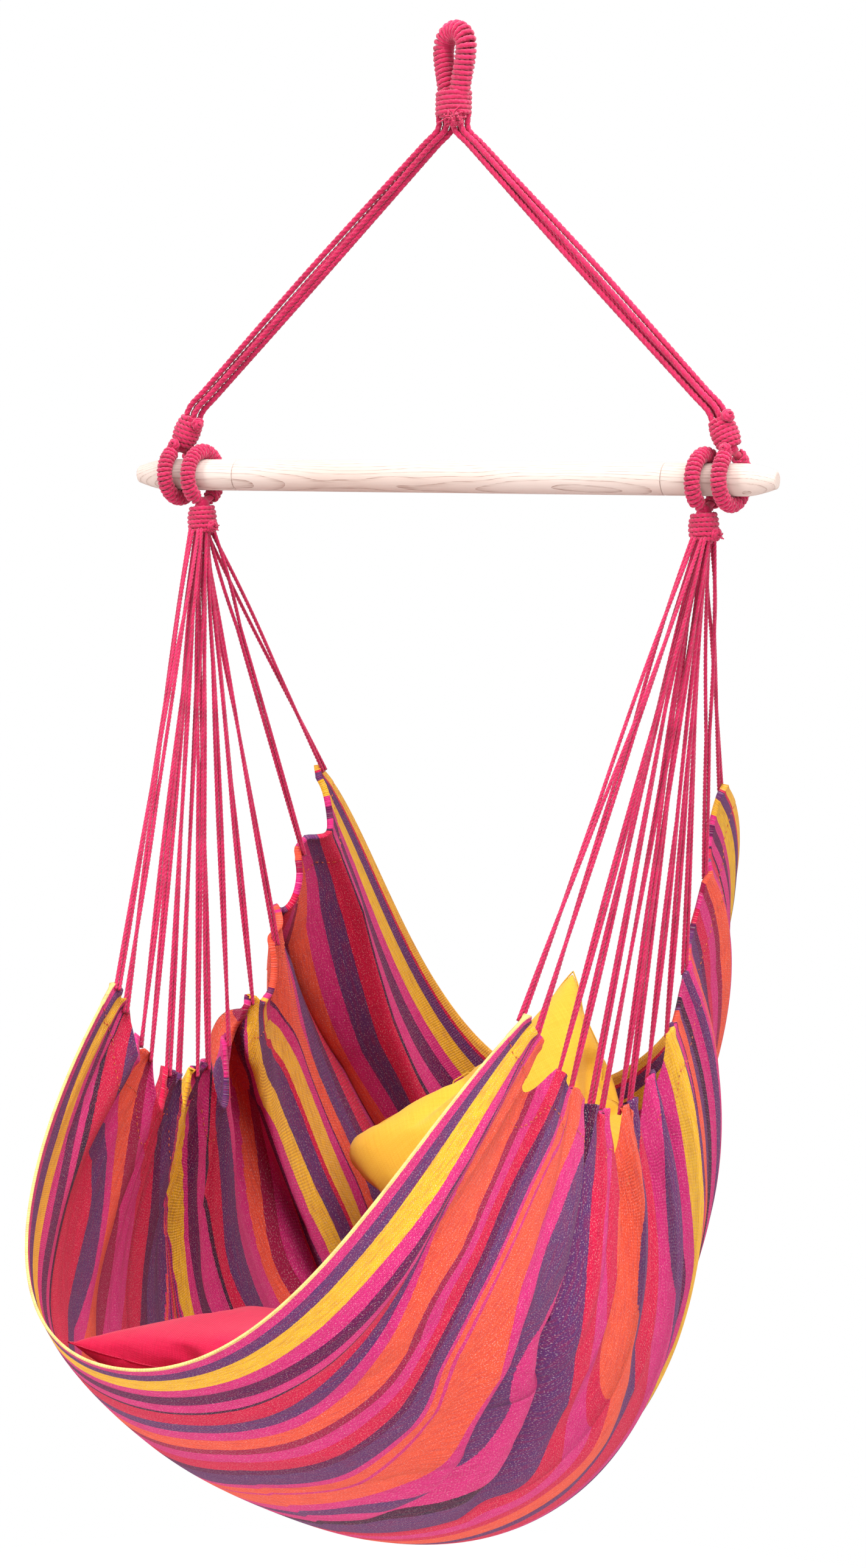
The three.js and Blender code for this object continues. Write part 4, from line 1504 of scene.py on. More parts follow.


# Borders picked by eye on the photograph and carried onto the cloth by another script, which
# printed these rows. About half of them were then changed.
STRIPE_LAYS = (
    StripeLay(
        Side.LEFT,
        (
            (0, (0.652, 0.672, 0.697, 0.714, 0.725, 0.733, 0.722, 0.726, 0.697, 0.64, 0.56)),
            (0.026, (0.654, 0.675, 0.70, 0.718, 0.735, 0.746, 0.752, 0.751, 0.723, 0.655, 0.58)),
            (0.044, (0.656, 0.679, 0.704, 0.726, 0.743, 0.757, 0.766, 0.761, 0.737, 0.67, 0.593)),
            (0.078, (0.672, 0.696, 0.721, 0.742, 0.756, 0.772, 0.779, 0.777, 0.757, 0.695, 0.619)),
            (0.104, (0.68, 0.708, 0.735, 0.753, 0.775, 0.789, 0.792, 0.793, 0.775, 0.712, 0.638)),
            (0.126, (0.69, 0.72, 0.752, 0.779, 0.798, 0.812, 0.815, 0.812, 0.791, 0.727, 0.655)),
            (0.142, (0.70, 0.735, 0.765, 0.792, 0.809, 0.819, 0.823, 0.823, 0.801, 0.737, 0.667)),
            (0.167, (0.79, 0.798, 0.807, 0.813, 0.823, 0.83, 0.835, 0.833, 0.814, 0.752, 0.686)),
        ),
        (
            (0, (0,) * 11),
            (0.059, (0.03, 0.033, 0.036, 0.04, 0.045, 0.056, 0.06, 0.058, 0.055, 0.05, 0.047)),
            (0.124, (0.05, 0.055, 0.06, 0.067, 0.075, 0.093, 0.103, 0.102, 0.1, 0.098, 0.097)),
            (0.154, (0.06, 0.08, 0.1, 0.15, 0.184, 0.194, 0.188, 0.171, 0.151, 0.132, 0.12)),
            (0.174, (0.075, 0.1, 0.155, 0.192, 0.206, 0.215, 0.207, 0.189, 0.165, 0.148, 0.136)),
            (0.195, (0.12, 0.155, 0.19, 0.203, 0.214, 0.223, 0.219, 0.203, 0.185, 0.166, 0.152)),
            (0.221, (0.183, 0.195, 0.207, 0.22, 0.234, 0.249, 0.246, 0.23, 0.21, 0.188, 0.172)),
            (0.253, (0.198, 0.229, 0.272, 0.304, 0.324, 0.327, 0.306, 0.278, 0.251, 0.218, 0.197)),
            (0.276, (0.252, 0.304, 0.334, 0.345, 0.353, 0.357, 0.338, 0.308, 0.28, 0.24, 0.215)),
            (0.316, (0.329, 0.352, 0.372, 0.458, 0.466, 0.468, 0.444, 0.404, 0.361, 0.29, 0.246)),
            (0.686, (0.33, 0.355, 0.37, 0.463, 0.468, 0.475, 0.483, 0.501, 0.52, 0.54, 0.551)),
            (0.713, (0.386, 0.45, 0.467, 0.478, 0.485, 0.49, 0.503, 0.52, 0.54, 0.562, 0.575)),
            (0.73, (0.387, 0.459, 0.47, 0.48, 0.49, 0.503, 0.518, 0.536, 0.555, 0.577, 0.59)),
            (0.754, (0.442, 0.47, 0.487, 0.5, 0.506, 0.527, 0.543, 0.559, 0.577, 0.599, 0.612)),
            (0.778, (0.467, 0.493, 0.509, 0.513, 0.56, 0.57, 0.577, 0.588, 0.601, 0.62, 0.633)),
            (0.808, (0.472, 0.51, 0.566, 0.58, 0.585, 0.583, 0.599, 0.614, 0.63, 0.648, 0.66)),
            (0.828, (0.51, 0.569, 0.593, 0.605, 0.609, 0.615, 0.624, 0.637, 0.65, 0.668, 0.678)),
            (0.849, (0.582, 0.621, 0.663, 0.7, 0.702, 0.689, 0.674, 0.671, 0.675, 0.687, 0.697)),
            (0.875, (0.628, 0.661, 0.695, 0.717, 0.712, 0.702, 0.688, 0.688, 0.694, 0.708, 0.72)),
            (1.2, (1,) * 11),
        ),
    ),
    StripeLay(
        Side.RIGHT,
        (
            (0, (0.604, 0.601, 0.596, 0.595, 0.596, 0.612, 0.605, 0.588, 0.567, 0.545, 0.56)),
            (0.044, (0.638, 0.635, 0.63, 0.629, 0.63, 0.646, 0.639, 0.622, 0.601, 0.578, 0.593)),
            (0.167, (0.73, 0.727, 0.722, 0.721, 0.722, 0.738, 0.731, 0.714, 0.693, 0.672, 0.686)),
        ),
        (
            (0, (0,) * 11),
            (0.059, (0.028, 0.028, 0.028, 0.029, 0.03, 0.033, 0.037, 0.038, 0.041, 0.047, 0.047)),
            (0.076, (0.035, 0.035, 0.036, 0.037, 0.039, 0.041, 0.046, 0.051, 0.056, 0.06, 0.06)),
            (0.195, (0.04, 0.041, 0.042, 0.045, 0.048, 0.058, 0.08, 0.095, 0.108, 0.14, 0.152)),
            (0.221, (0.102, 0.092, 0.087, 0.087, 0.087, 0.094, 0.096, 0.11, 0.13, 0.156, 0.172)),
            (0.345, (0.166, 0.157, 0.145, 0.135, 0.131, 0.133, 0.141, 0.16, 0.203, 0.249, 0.268)),
            (0.404, (0.208, 0.195, 0.183, 0.179, 0.175, 0.174, 0.196, 0.23, 0.255, 0.285, 0.314)),
            (0.453, (0.263, 0.265, 0.266, 0.264, 0.262, 0.268, 0.285, 0.32, 0.35, 0.345, 0.353)),
            (0.489, (0.273, 0.273, 0.273, 0.273, 0.275, 0.286, 0.322, 0.362, 0.385, 0.385, 0.383)),
            (0.525, (0.322, 0.315, 0.3, 0.295, 0.304, 0.34, 0.375, 0.41, 0.423, 0.42, 0.412)),
            (0.576, (0.43, 0.415, 0.39, 0.384, 0.384, 0.395, 0.445, 0.475, 0.475, 0.46, 0.455)),
            (0.686, (0.638, 0.635, 0.63, 0.629, 0.63, 0.648, 0.639, 0.622, 0.601, 0.57, 0.551)),
            (1.2, (1,) * 11),
        ),
    ),
)


def cubic_weights(t: np.ndarray) -> np.ndarray:
    """A cubic's four weights at some shares."""
    s = 1 - t
    return np.stack([s * s * s, 3 * s * s * t, 3 * s * t * t, t * t * t], axis=-1)


@dataclass
class Sling:
    """The striped cloth: its smooth form, its gathered hems and its folds."""

    half_width: float = 0.310
    reach: float = 0.731
    drop: float = 1.240
    fold_depth: float = 0.045
    fold_swell: float = 0.026
    deep_span: float = 0.09
    tab_fullness: float = 0.6
    tab_share: float = 0.015
    fold_end: float = 0.72
    thickness: float = 0.0016
    hem_depth: float = 0.045
    columns: int = 300
    rows: int = 104

    # Scallops between the cords: how square they are, and where they grow shallower to the back
    squareness: float = 0.65
    calm_from: float = 0.62
    calm_over: float = 0.08
    calm: float = 0.5

    # Rows lie closer together at the hem; 1 would space them evenly
    row_spacing: float = 0.36

    # The ridge under each cord, and how far a cord holds the cloth against the folds
    ridge_height: float = 0.006
    ridge_width: float = 0.010
    held_width: float = 0.014
    held_rows: float = 0.1

    # Fine creases near the hem and slack in the body of the cloth
    crease_height: float = 0.0016
    slack_height: float = 0.004

    # The hem: its thicker band, its roll and the groove of its stitching; then the cloth's edges
    band_extra: float = 0.9
    band_blend: float = 0.0024
    roll_height: float = 0.0052
    roll_width: float = 0.0075
    groove_depth: float = 0.0006
    groove_width: float = 0.0022
    edge_height: float = 0.0014
    edge_width: float = 0.004

    def smooth(self, t: np.ndarray, v: np.ndarray, sign: int) -> np.ndarray:
        """Points of the smooth form.

        Args:
            t: shares from the hem to the middle line.
            v: shares from the front edge to the back edge.
            sign: the side along the bar.

        Returns:
            The points, measured from the bar's axis.
        """
        size = np.array([sign * self.half_width, self.reach, self.drop])
        table = np.array(SLING_SHARES, float) * size
        return np.einsum("...i,...k,ikc->...c", cubic_weights(v), cubic_weights(t), table)

    def ways(self, t: np.ndarray, v: np.ndarray, sign: int) -> tuple[np.ndarray, np.ndarray]:
        """Directions out of the smooth form, and along it towards the back edge."""
        step = 0.01
        by_t = self.smooth(t + step, v, sign) - self.smooth(t - step, v, sign)
        by_v = self.smooth(t, v + step, sign) - self.smooth(t, v - step, sign)
        return unit(sign * np.cross(by_t, by_v)), unit(by_v)

    def wave(self, v: np.ndarray) -> tuple[np.ndarray, np.ndarray]:
        """Depth share and turn of the fold at some shares of the hem.

        Args:
            v: shares from the front edge to the back edge.

        Returns:
            The depth share from 0 to 1 and the fold's turn, 1 or -1.
        """
        shares = np.array(HEM_SHARES)
        span = np.clip(np.searchsorted(shares, v, side="right") - 1, 0, len(shares) - 2)
        start, end = shares[span], shares[span + 1]
        within = np.clip((v - start - self.tab_share) / (end - start - 2 * self.tab_share), 0, 1)
        fullness = np.minimum(1, (end - start) / self.deep_span)
        turn = np.where(fullness > self.tab_fullness, -1.0, 1.0)
        back = np.clip((v - self.calm_from) / self.calm_over, 0, 1)
        scallop = np.sin(math.pi * within) ** self.squareness
        return scallop * fullness**3 * (1 - self.calm * back), turn

    def row_shares(self) -> np.ndarray:
        """Shares from the hem to the middle, closer together in the hem's band."""
        rows = self.rows
        even = np.linspace(0, 1, rows + 1)
        return even * (self.row_spacing + (1 - self.row_spacing) * even)

    def folded(self, row_share: np.ndarray, v: np.ndarray, sign: int) -> np.ndarray:
        """Points of the cloth with its scalloped hem and its folds.

        Args:
            row_share: shares from the cut hem to the middle line.
            v: shares from the front edge to the back edge.
            sign: the side along the bar.

        Returns:
            The points, measured from the bar's axis.
        """
        wave, turn = self.wave(v)
        zero = np.zeros_like(v)
        to_half = self.smooth(zero, v, sign) - self.smooth(zero + 0.5, v, sign)
        half = np.linalg.norm(to_half, axis=-1)
        start = self.fold_depth * wave / (2 * half)
        t = start + (1 - start) * row_share
        fade = np.clip(1 - row_share / self.fold_end, 0, 1)
        offset = self.fold_swell * wave * turn * fade**2
        shares = np.array(HEM_SHARES)
        nearest = shares[np.argmin(np.abs(v[..., None] - shares), axis=-1)]
        offset = offset + self.ridge_height * bell(v - nearest, self.ridge_width) * fade**3
        fine = np.sin(TURN * 21 * v + 3 * row_share + sign)
        fine = fine + 0.6 * np.sin(TURN * 37 * v - 5 * row_share)
        offset = offset + self.crease_height * fine * fade**1.5 * np.clip(row_share * 12, 0, 1)
        slack = np.sin(TURN * (3.1 * v + 0.7 * row_share))
        slack = slack * np.sin(TURN * (1.3 * row_share + 0.4 * v + 0.1 * sign))
        calm = np.clip(row_share * 3, 0, 1) * np.sin(math.pi * np.clip(v, 0, 1)) ** 0.5
        offset = offset + self.slack_height * slack * calm * (1 - row_share) ** 0.5
        held = bell(v - nearest, self.held_width) * np.clip(1 - row_share / self.held_rows, 0, 1)
        slide = np.zeros_like(v)
        for fold in FOLDS:
            if fold.side.value == sign:
                outward, onward = fold.moves(row_share, v)
                offset = offset + outward * (1 - held)
                slide = slide + onward * (1 - held)
        out, back = self.ways(t, v, sign)
        return self.smooth(t, v, sign) + out * offset[..., None] + back * slide[..., None]

    def grid(self) -> tuple[np.ndarray, np.ndarray, np.ndarray]:
        """The cloth's middle surface from the left hem to the right hem.

        Returns:
            Its points, the row shares of its rows and the shares of its columns.
        """
        columns = self.columns
        v = np.linspace(0, 1, columns + 1)
        shares = self.row_shares()
        halves = []
        for side in Side:
            share, place = np.meshgrid(shares, v, indexing="ij")
            halves.append(self.folded(share, place, side.value))
        middle = 0.5 * (halves[0][-1] + halves[1][-1])
        middle[:, 0] = 0
        points = np.concatenate([halves[0][:-1], middle[None], halves[1][:-1][::-1]])
        points[..., 2] -= BAR_DROP
        row_share = np.concatenate([shares[:-1], [1.0], shares[:-1][::-1]])
        return points, row_share, v

    def thicknesses(self, from_hem: np.ndarray, from_edge: np.ndarray) -> np.ndarray:
        """The cloth's thickness, more in the hem's band, in its roll and at the edges.

        Args:
            from_hem: distance of each point from its nearer hem.
            from_edge: distance of each column from its nearer edge.

        Returns:
            The thickness at each point.
        """
        band = np.clip((self.hem_depth + self.band_blend / 2 - from_hem) / self.band_blend, 0, 1)
        roll = bell(from_hem, self.roll_width)
        groove = bell(from_hem - self.hem_depth, self.groove_width)
        thick = self.thickness * (1 + self.band_extra * band) + self.roll_height * roll
        thick = thick - self.groove_depth * groove
        return thick + self.edge_height * bell(from_edge[None, :], self.edge_width)

    def build(self, thread: bpy.types.Material) -> BVHTree:
        """Builds the cloth and its hem stitching and dresses them.

        Args:
            thread: the material of the stitching.

        Returns:
            A tree of the cloth's middle surface.
        """
        points, row_share, v = self.grid()
        rows, columns = points.shape[:2]
        by_row = np.gradient(points, axis=0)
        by_column = np.gradient(points, axis=1)
        out = unit(np.cross(by_row, by_column))
        steps = np.linalg.norm(np.diff(points, axis=1), axis=2).mean(axis=0)
        along = np.concatenate([[0], np.cumsum(steps)])
        down = np.linalg.norm(np.diff(points, axis=0), axis=2)
        from_left = np.concatenate([np.zeros((1, columns)), np.cumsum(down, axis=0)])
        from_hem = np.minimum(from_left, from_left[-1] - from_left)
        thick = self.thicknesses(from_hem, np.minimum(along, along[-1] - along))
        faces_out = points + out * (thick / 2)[..., None]
        faces_in = points - out * (thick / 2)[..., None]
        across = from_left.mean(axis=1)
        layer_out = np.stack(np.broadcast_arrays(across[:, None], along[None, :], 0.0), axis=-1)
        index = np.arange(rows * columns).reshape(rows, columns)
        outer = quads_of(index)
        below = rows * columns
        rim = rim_of(index)
        edges = np.stack([rim[1:], rim[:-1], rim[:-1] + below, rim[1:] + below], axis=-1)
        faces = [tuple(face) for face in np.vstack([outer, outer[:, ::-1] + below, edges]).tolist()]
        shell = Shell(
            np.vstack([faces_out.reshape(-1, 3), faces_in.reshape(-1, 3)]),
            faces,
            np.vstack([layer_out.reshape(-1, 3)] * 2),
        )
        piece = make_mesh("striped_sling", [shell])
        lay = piece.data.attributes.new("stripe", "FLOAT_VECTOR", "POINT")
        layer = self.stripe_layer(row_share, v, along)
        lay.data.foreach_set("vector", np.vstack([layer, layer]).astype(np.float32).ravel())
        tree = BVHTree.FromPolygons(points.reshape(-1, 3).tolist(), outer.tolist())
        finish = StripedClothFinish("Striped cotton", 0.9, 0.06, 0.1)
        dress(piece, finish.material(), Body.SEAT, ["sling_cloth"])
        stitching = self.stitching(points, out, from_hem)
        dress(stitching, thread, Body.SEAT)

        return tree

    def stripe_layer(self, row_share: np.ndarray, v: np.ndarray, along: np.ndarray) -> np.ndarray:
        """The stripes' places for every point of the cloth.

        Args:
            row_share: the rows' shares, from the left hem to the right hem.
            v: the columns' shares.
            along: the columns' distances from the front edge.

        Returns:
            Three numbers for each point, row by row.
        """
        half = len(row_share) // 2
        left, right = (lay.layer(row_share, v, along) for lay in STRIPE_LAYS)
        return np.concatenate([left[: half + 1], right[half + 1 :]]).reshape(-1, 3)

    def stitching(
        self, points: np.ndarray, out: np.ndarray, from_hem: np.ndarray
    ) -> bpy.types.Object:
        """The row of stitches under each hem, one thread that runs in and out of the cloth.

        Args:
            points: the cloth's middle surface.
            out: the directions out of it.
            from_hem: distance of each point from its nearer hem.

        Returns:
            The stitching.
        """
        thread = Section(0.00075, plies=2, groove=0.15, corners=3, lay=0.004)
        spacing, stitch, reach, steepness = 0.0014, 5.6, 0.00155, 1.6
        shells = []
        half = points.shape[0] // 2
        for rows in (slice(0, half), slice(points.shape[0] - 1, half, -1)):
            line, ways = [], []
            for column in range(points.shape[1]):
                distance = from_hem[rows, column]
                at = np.interp(self.hem_depth, distance, np.arange(len(distance)))
                low = int(at)
                share = at - low
                near = points[rows, column]
                line.append(near[low] * (1 - share) + near[low + 1] * share)
                ways.append(out[rows, column][low])
            count = int(arc_lengths(np.array(line))[-1] / spacing)
            path = resample(np.array(line), count)
            at, known = np.linspace(0, len(line) - 1, count), np.arange(len(line))
            parts = [np.interp(at, known, part) for part in np.array(ways).T]
            across = unit(np.stack(parts, axis=1))
            depth = np.clip(steepness * np.sin(TURN * np.arange(count) / stitch), -1, 1) * reach
            path = path + across * depth[:, None]
            shells.append(sweep(path, across, thread))
        return make_mesh("hem_stitching", shells)


@dataclass
class Fan:
    """The doubled cords between a lower ring's neck and the sling's hem."""

    side: Side
    sling: Sling
    loop_radius: float = 0.02855
    rise: float = 0.006
    row_spacing: float = 0.0056
    step_spacing: float = 0.00385
    sink: float = 0.009
    parted: float = 0.0016
    bowed: float = 0.004
    section: Section = Section(0.0024, lay=0.0155)

    def strands(self, index: int) -> list[Shell]:
        """The two strands of one cord, together at the hem and apart at the neck.

        Args:
            index: the cord's number, from 0 at the front.

        Returns:
            The two strands.
        """
        sign = self.side.value
        middle = (len(HEM_SHARES) - 1) / 2
        slot = math.floor(((index - middle) * 2) / 3 + 0.5)
        place = (0, -1, 1)[(index + 3) % 3]
        face = -BAR_DROP - LOOP_SHIFT - self.loop_radius - NECK_END
        x = sign * LOWER_LOOP_PLACE + place * self.row_spacing
        start = Vector((x, slot * self.step_spacing, face + self.rise))
        v = np.array([float(HEM_SHARES[index])])
        hem = Vector(self.sling.smooth(np.zeros(1), v, sign)[0].tolist())
        hem.z -= BAR_DROP
        way = (hem - start).normalized()
        end = hem + way * self.sink
        length = (end - start).length
        across = way.cross(Vector((0, 1, 0))).normalized()
        depth = way.cross(across).normalized()
        parting = 0.42 + 0.16 * math.sin(2.3 * index + 1.1 * sign)
        count = points_along(length, self.section.lay)
        share = np.linspace(0, 1, count)
        joined = np.clip((share - parting) / (1 - parting), 0, 1)
        reach = self.section.radius * 0.9
        turn = 2.2 * math.sin(1.3 * index) + joined * (2.4 + math.sin(index))
        apart = reach + np.clip((parting - share) / parting, 0, 1) ** 1.1 * self.parted
        free = np.sin(math.pi * np.clip(share / parting, 0, 1))
        down = share[:, None]
        line = np.array(start)[None, :] * (1 - down) + np.array(end)[None, :] * down
        shells = []
        for hand in (1, -1):
            bow = self.bowed * math.sin(3.7 * index + hand) * free
            spread_x = hand * apart * np.cos(turn) + bow
            spread_y = hand * apart * np.sin(turn) + 0.6 * bow
            path = line + spread_x[:, None] * np.array(across) + spread_y[:, None] * np.array(depth)
            shells.append(sweep(path, tiled(across, count), self.section, phase=index + hand))
        return shells

    def build(self, rope: bpy.types.Material) -> None:
        """Builds and dresses the cords of this side."""
        for index in range(len(HEM_SHARES)):
            word = f"{self.side.word}_{index + 1:02d}"
            strands, node = self.strands(index), "fan_cord_" + word
            add_piece("hem_rope_" + word, strands, rope, Body.SEAT, Slot.ROPE, node)


# Cushions

# How a cushion's cover gives while its filling swells it
COVER_CLOTH = {
    "quality": 6,
    "mass": 0.25,
    "tension_stiffness": 18,
    "compression_stiffness": 12,
    "shear_stiffness": 6,
    "bending_stiffness": 0.25,
    "tension_damping": 8,
    "compression_damping": 8,
    "bending_damping": 0.8,
    "air_damping": 2.5,
}


@dataclass
class Cushion:
    """A square loose cushion: a cover swollen by its filling, with a seam round its edge."""

    name: str
    body: Body
    slot: Slot
    finish: PlainClothFinish
    centre: tuple[float, float, float]
    tilt: float
    turn: float
    bow: float
    width: float = 0.385
    thickness: float = 0.115
    cells: int = 44
    start_thickness: float = 0.030
    clearance: float = 0.0025
    pressure: float = 5.0
    frames: int = 22
    search: float = 0.05
    ears: float = 0.05
    blunt_ear: float = 0.05
    edge: Section = Section(0.0011, plies=2, groove=0.2, lay=0.007)

    def flat(self) -> tuple[np.ndarray, list[tuple[int, ...]], np.ndarray]:
        """Points, faces and texture places of the cover before it is filled.

        Returns:
            The points, the faces and the places on the flat cover.
        """
        cells = self.cells
        count = cells + 1
        half = self.width / 2
        lines = np.linspace(-1, 1, count)
        x, y = np.meshgrid(lines, lines, indexing="ij")
        bulge = np.clip((1 - x**2) * (1 - y**2), 0, 1) ** 0.5
        high = bulge * self.start_thickness / 2
        top = np.stack([x * half, y * half, high], axis=-1).reshape(-1, 3)
        index = np.arange(count * count).reshape(count, count)
        inside = index[1:-1, 1:-1].ravel()
        lower = index.copy()
        lower[1:-1, 1:-1] = count * count + np.arange(len(inside)).reshape(cells - 1, cells - 1)
        quads = np.vstack([quads_of(index), quads_of(lower)[:, ::-1]])
        faces = [tuple(face) for face in quads.tolist()]
        points = np.vstack([top, top[inside] * [1, 1, -1]])
        places = points.copy()
        places[:, 2] = 0
        return points, faces, places

    def swollen(self, points: np.ndarray, faces: list[tuple[int, ...]]) -> np.ndarray:
        """The cover's points after its filling has swollen it.

        Args:
            points: points of the flat cover.
            faces: its faces.

        Returns:
            The swollen points.
        """
        mesh = bpy.data.meshes.new(self.name + "_start")
        mesh.from_pydata(points.tolist(), [], faces)
        trial = bpy.data.objects.new(self.name + "_start", mesh)
        scene = bpy.context.scene
        scene.collection.objects.link(trial)
        cloth = trial.modifiers.new("Filling", "CLOTH")
        for field, value in COVER_CLOTH.items():
            setattr(cloth.settings, field, value)
        cloth.settings.use_pressure = True
        cloth.settings.uniform_pressure_force = self.pressure
        cloth.settings.effector_weights.gravity = 0
        cloth.collision_settings.use_collision = False
        cloth.point_cache.frame_start = 1
        cloth.point_cache.frame_end = self.frames + 1
        for number in range(1, self.frames + 1):
            scene.frame_set(number)
        depsgraph = bpy.context.evaluated_depsgraph_get()
        result = trial.evaluated_get(depsgraph).to_mesh()
        swollen = np.zeros(len(result.vertices) * 3, np.float32)
        result.vertices.foreach_get("co", swollen)
        trial.evaluated_get(depsgraph).to_mesh_clear()
        bpy.data.objects.remove(trial, do_unlink=True)
        bpy.data.meshes.remove(mesh)
        scene.frame_set(1)
        return swollen.reshape(-1, 3).astype(float)

    def fitted(self, points: np.ndarray) -> np.ndarray:
        """Points scaled to the cushion's size and bowed to the curve that it lies in."""
        flat = np.abs(points[:, :2]) / np.abs(points[:, :2]).max(axis=0)
        drawn_in = np.where((points[:, :1] < 0) & (points[:, 1:2] > 0), self.blunt_ear, self.ears)
        points = points * (1 - drawn_in * (flat[:, :1] * flat[:, 1:]) ** 2)
        centre = (points.max(axis=0) + points.min(axis=0)) / 2
        size = points.max(axis=0) - points.min(axis=0)
        fit = (points - centre) * (np.array([self.width, self.width, self.thickness]) / size)
        aside = 2 * (fit[:, 0] * math.cos(self.turn) - fit[:, 1] * math.sin(self.turn)) / self.width
        fit[:, 2] += self.bow * aside**2
        return fit

    def seated(self, points: np.ndarray, sling: BVHTree) -> np.ndarray:
        """Points in the chair, held clear of the cloth that they lie on.

        Args:
            points: the cushion's points about its own centre.
            sling: the cloth's middle surface, facing the sitter.

        Returns:
            The points in the chair.
        """
        turned = Matrix.Rotation(self.tilt, 4, "X") @ Matrix.Rotation(self.turn, 4, "Z")
        laid = Matrix.Translation(Vector(self.centre)) @ turned
        placed = [laid @ Vector(point) for point in points.tolist()]
        for number, point in enumerate(placed):
            near, inward, _, _ = sling.find_nearest(point, self.search)
            if near is not None:
                height = (point - near).dot(inward)
                if height < self.clearance:
                    placed[number] = point + inward * (self.clearance - height)
        return np.array([tuple(point) for point in placed])

    def build(self, sling: BVHTree) -> None:
        """Builds and dresses the cover and its edge seam.

        Args:
            sling: the cloth's middle surface, facing the sitter.
        """
        points, faces, places = self.flat()
        shape = self.swollen(points, faces)
        placed = self.seated(self.fitted(shape), sling)
        cover = make_mesh(self.name + "_padded_cover", [Shell(placed, faces, places)])
        smooth = cover.modifiers.new("Smooth", "SUBSURF")
        smooth.levels = smooth.render_levels = 1
        material = self.finish.material()
        nodes = [self.name + "_cover", self.name + "_filling"]
        dress(cover, material, self.body, nodes)
        count = self.cells + 1
        rim = rim_of(np.arange(count * count).reshape(count, count))
        line = resample(placed[rim], 4 * len(rim))
        seam = sweep(line, unit(line - placed.mean(axis=0)), self.edge)
        add_piece(self.name + "_edge_seam", [seam], material, self.body, self.slot)


# Camera, lamps and floor


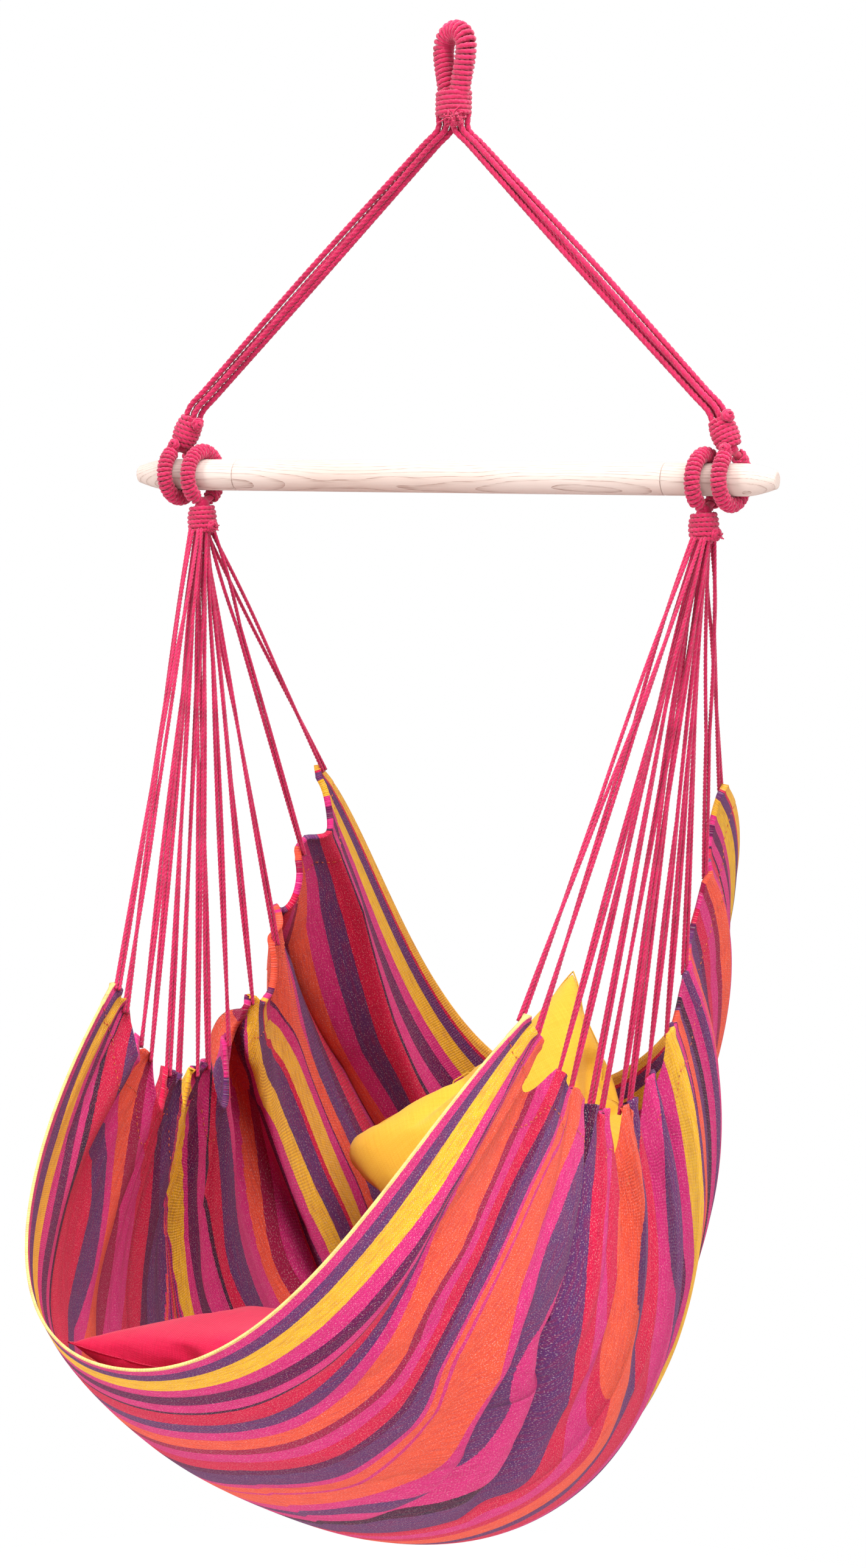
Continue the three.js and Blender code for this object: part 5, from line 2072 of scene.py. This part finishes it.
@dataclass(frozen=True)
class Studio:
    """The camera of the view, soft lamps, a white surround and a pale floor."""

    image: tuple[int, int] = (1422, 2576)
    azimuth: float = 0.420566
    distance: float = 3.9986
    height: float = -0.5967
    focus: float = 5705.4
    yaw: float = 0.00182
    pitch: float = 0.063027
    roll: float = 0.020991
    floor_height: float = -2.1
    floor_half: float = 6.0
    floor_fade: tuple[float, float] = (0.9, 1.35)
    surround: float = 0.68

    def camera(self) -> None:
        """Adds the camera at the view's angle."""
        data = bpy.data.cameras.new("view")
        data.sensor_fit = "VERTICAL"
        data.sensor_height = 36.0
        data.sensor_width = 36.0 * self.image[0] / self.image[1]
        data.lens = self.focus / self.image[1] * data.sensor_height
        data.clip_end = 60
        facing = self.azimuth + self.yaw
        level = math.cos(self.pitch)
        ahead = Vector((-math.sin(facing) * level, math.cos(facing) * level, -math.sin(self.pitch)))
        right = Vector((math.cos(facing), math.sin(facing), 0))
        up = right.cross(ahead)
        tilted_right = math.cos(self.roll) * right + math.sin(self.roll) * up
        tilted_up = -math.sin(self.roll) * right + math.cos(self.roll) * up
        turn = Matrix((tilted_right, tilted_up, -ahead)).transposed().to_4x4()
        away = Vector((math.sin(self.azimuth), -math.cos(self.azimuth), 0)) * self.distance
        camera = bpy.data.objects.new("view", data)
        camera.matrix_world = Matrix.Translation(away + Vector((0, 0, self.height))) @ turn
        bpy.context.scene.collection.objects.link(camera)
        bpy.context.scene.camera = camera

    def lamp(
        self, name: str, place: Sequence[float], aim: Sequence[float], size: float, power: float
    ) -> None:
        """Adds one soft lamp.

        Args:
            name: the lamp's name.
            place: where it stands.
            aim: the point that it faces.
            size: the width of its square.
            power: its power in watts.
        """
        data = bpy.data.lights.new(name, "AREA")
        data.shape = "SQUARE"
        data.size = size
        data.energy = power
        lamp = bpy.data.objects.new(name, data)
        lamp.location = Vector(place)
        lamp.rotation_euler = (Vector(aim) - Vector(place)).to_track_quat("-Z", "Y").to_euler()
        bpy.context.scene.collection.objects.link(lamp)

    def seen(self, w: Wiring, *rays: str) -> bpy.types.NodeSocket:
        """1 for a ray of the camera or of one of some more kinds, else 0."""
        path = w.add("ShaderNodeLightPath").outputs
        share = path["Is Camera Ray"]
        for ray in rays:
            share = w.number("MAXIMUM", share, path[ray])
        return share

    def surroundings(self) -> None:
        """Lights the chair evenly and shows white behind it."""
        world = bpy.data.worlds.new("surround")
        bpy.context.scene.world = world
        world.use_nodes = True
        w = Wiring(world.node_tree)
        world.node_tree.nodes.clear()
        seen = self.seen(w, "Is Glossy Ray", "Is Transmission Ray")
        plain = w.add("ShaderNodeBackground", {"Color": (1, 1, 1, 1), "Strength": self.surround})
        white = w.add("ShaderNodeBackground", {"Color": (1, 1, 1, 1), "Strength": 1.0})
        mix = w.add("ShaderNodeMixShader", {0: seen, 1: plain.outputs[0], 2: white.outputs[0]})
        w.add("ShaderNodeOutputWorld", {"Surface": mix.outputs[0]})

    def floor(self) -> None:
        """A pale floor that goes over into the white surround far from the chair."""
        mesh = bpy.data.meshes.new("floor")
        half, z = self.floor_half, self.floor_height
        corners = [(-half, -half, z), (half, -half, z), (half, half, z), (-half, half, z)]
        mesh.from_pydata(corners, [], [(0, 1, 2, 3)])
        floor = bpy.data.objects.new("floor", mesh)
        bpy.context.scene.collection.objects.link(floor)
        material = bpy.data.materials.new("Floor")
        material.use_nodes = True
        w = Wiring(material.node_tree)
        material.node_tree.nodes.clear()
        place = w.add("ShaderNodeTexCoord").outputs["Object"]
        flat = w.scaled(place, 1.0, 1.0, 0.0)
        away = w.add("ShaderNodeVectorMath", {0: flat}, operation="LENGTH").outputs["Value"]
        far = w.spread(away, *self.floor_fade, (0.0, 1.0))
        share = w.number("MULTIPLY", far, self.seen(w, "Is Glossy Ray"))
        plain = w.add("ShaderNodeBsdfDiffuse", {"Color": paint(244, 243, 241)})
        white = w.add("ShaderNodeEmission", {"Color": (1, 1, 1, 1), "Strength": 1.0})
        mix = w.add("ShaderNodeMixShader", {0: share, 1: plain.outputs[0], 2: white.outputs[0]})
        w.add("ShaderNodeOutputMaterial", {"Surface": mix.outputs[0]})
        mesh.materials.append(material)

    def build(self) -> None:
        """Adds everything round the chair."""
        self.camera()
        self.surroundings()
        self.floor()
        self.lamp("key", (-2.4, -3.1, 1.2), aim=(0.0, -0.15, -1.1), size=1.1, power=118.0)
        self.lamp("fill", (2.6, -2.2, 0.9), aim=(-0.25, -0.1, -1.3), size=2.2, power=78.0)
        self.lamp("top", (0.9, -0.5, 1.9), aim=(-0.2, 0.0, -1.2), size=2.0, power=104.0)
        bpy.context.scene.view_settings.view_transform = "Standard"


def whipped_ends() -> tuple[list[WhippedEnd], list[WhippedEnd]]:
    """The four whipped ends: the upper ones lean to the eye, the lower ones hang.

    Returns:
        The upper ends and the lower ends.
    """
    upper, lower = [], []
    rose = ((0.0125, 0.011, 0.030),)
    for side in Side:
        sign = side.value
        high = (sign * (LOWER_LOOP_PLACE + UPPER_LOOP_STEP), 0.0, LOOP_SHIFT - BAR_DROP)
        low = (sign * LOWER_LOOP_PLACE, 0.0, -BAR_DROP - LOOP_SHIFT)
        name = "upper_" + side.word
        upper.append(WhippedEnd(name, Body.SUSPENSION, high, side, lean=-sign * UPPER_LEAN))
        end = WhippedEnd("lower_" + side.word, Body.SEAT, low, side, upside_down=True)
        lower.append(replace(end, roses=rose, neck_reach=0.0178))
    return upper, lower


def main() -> None:
    """Builds the studio and every sub-assembly of the chair in order."""
    Studio().build()
    rope, whip, thread = ROPE.material(), WHIPPING.material(), THREAD.material()
    Eye().build(rope, whip)
    upper, lower = whipped_ends()
    for end in upper + lower:
        end.build(rope, whip)
    Yoke().build(upper, rope)
    Bar().build(WOOD.material())
    sling = Sling()
    surface = sling.build(thread)
    for side in Side:
        Fan(side, sling).build(rope)
    Cushion(
        "seat_cushion",
        Body.SEAT_CUSHION,
        Slot.SEAT_COVER,
        SEAT_COVER,
        centre=(0.0, -0.3117, -1.4728),
        tilt=math.radians(-7),
        turn=0.0,
        bow=0.026,
    ).build(surface)
    Cushion(
        "back_cushion",
        Body.BACK_CUSHION,
        Slot.BACK_COVER,
        BACK_COVER,
        centre=(0.018, 0.2398, -1.3488),
        tilt=math.radians(70),
        turn=math.radians(40),
        bow=0.030,
        ears=0.08,
        blunt_ear=0.26,
    ).build(surface)


if __name__ == "__main__":
    main()
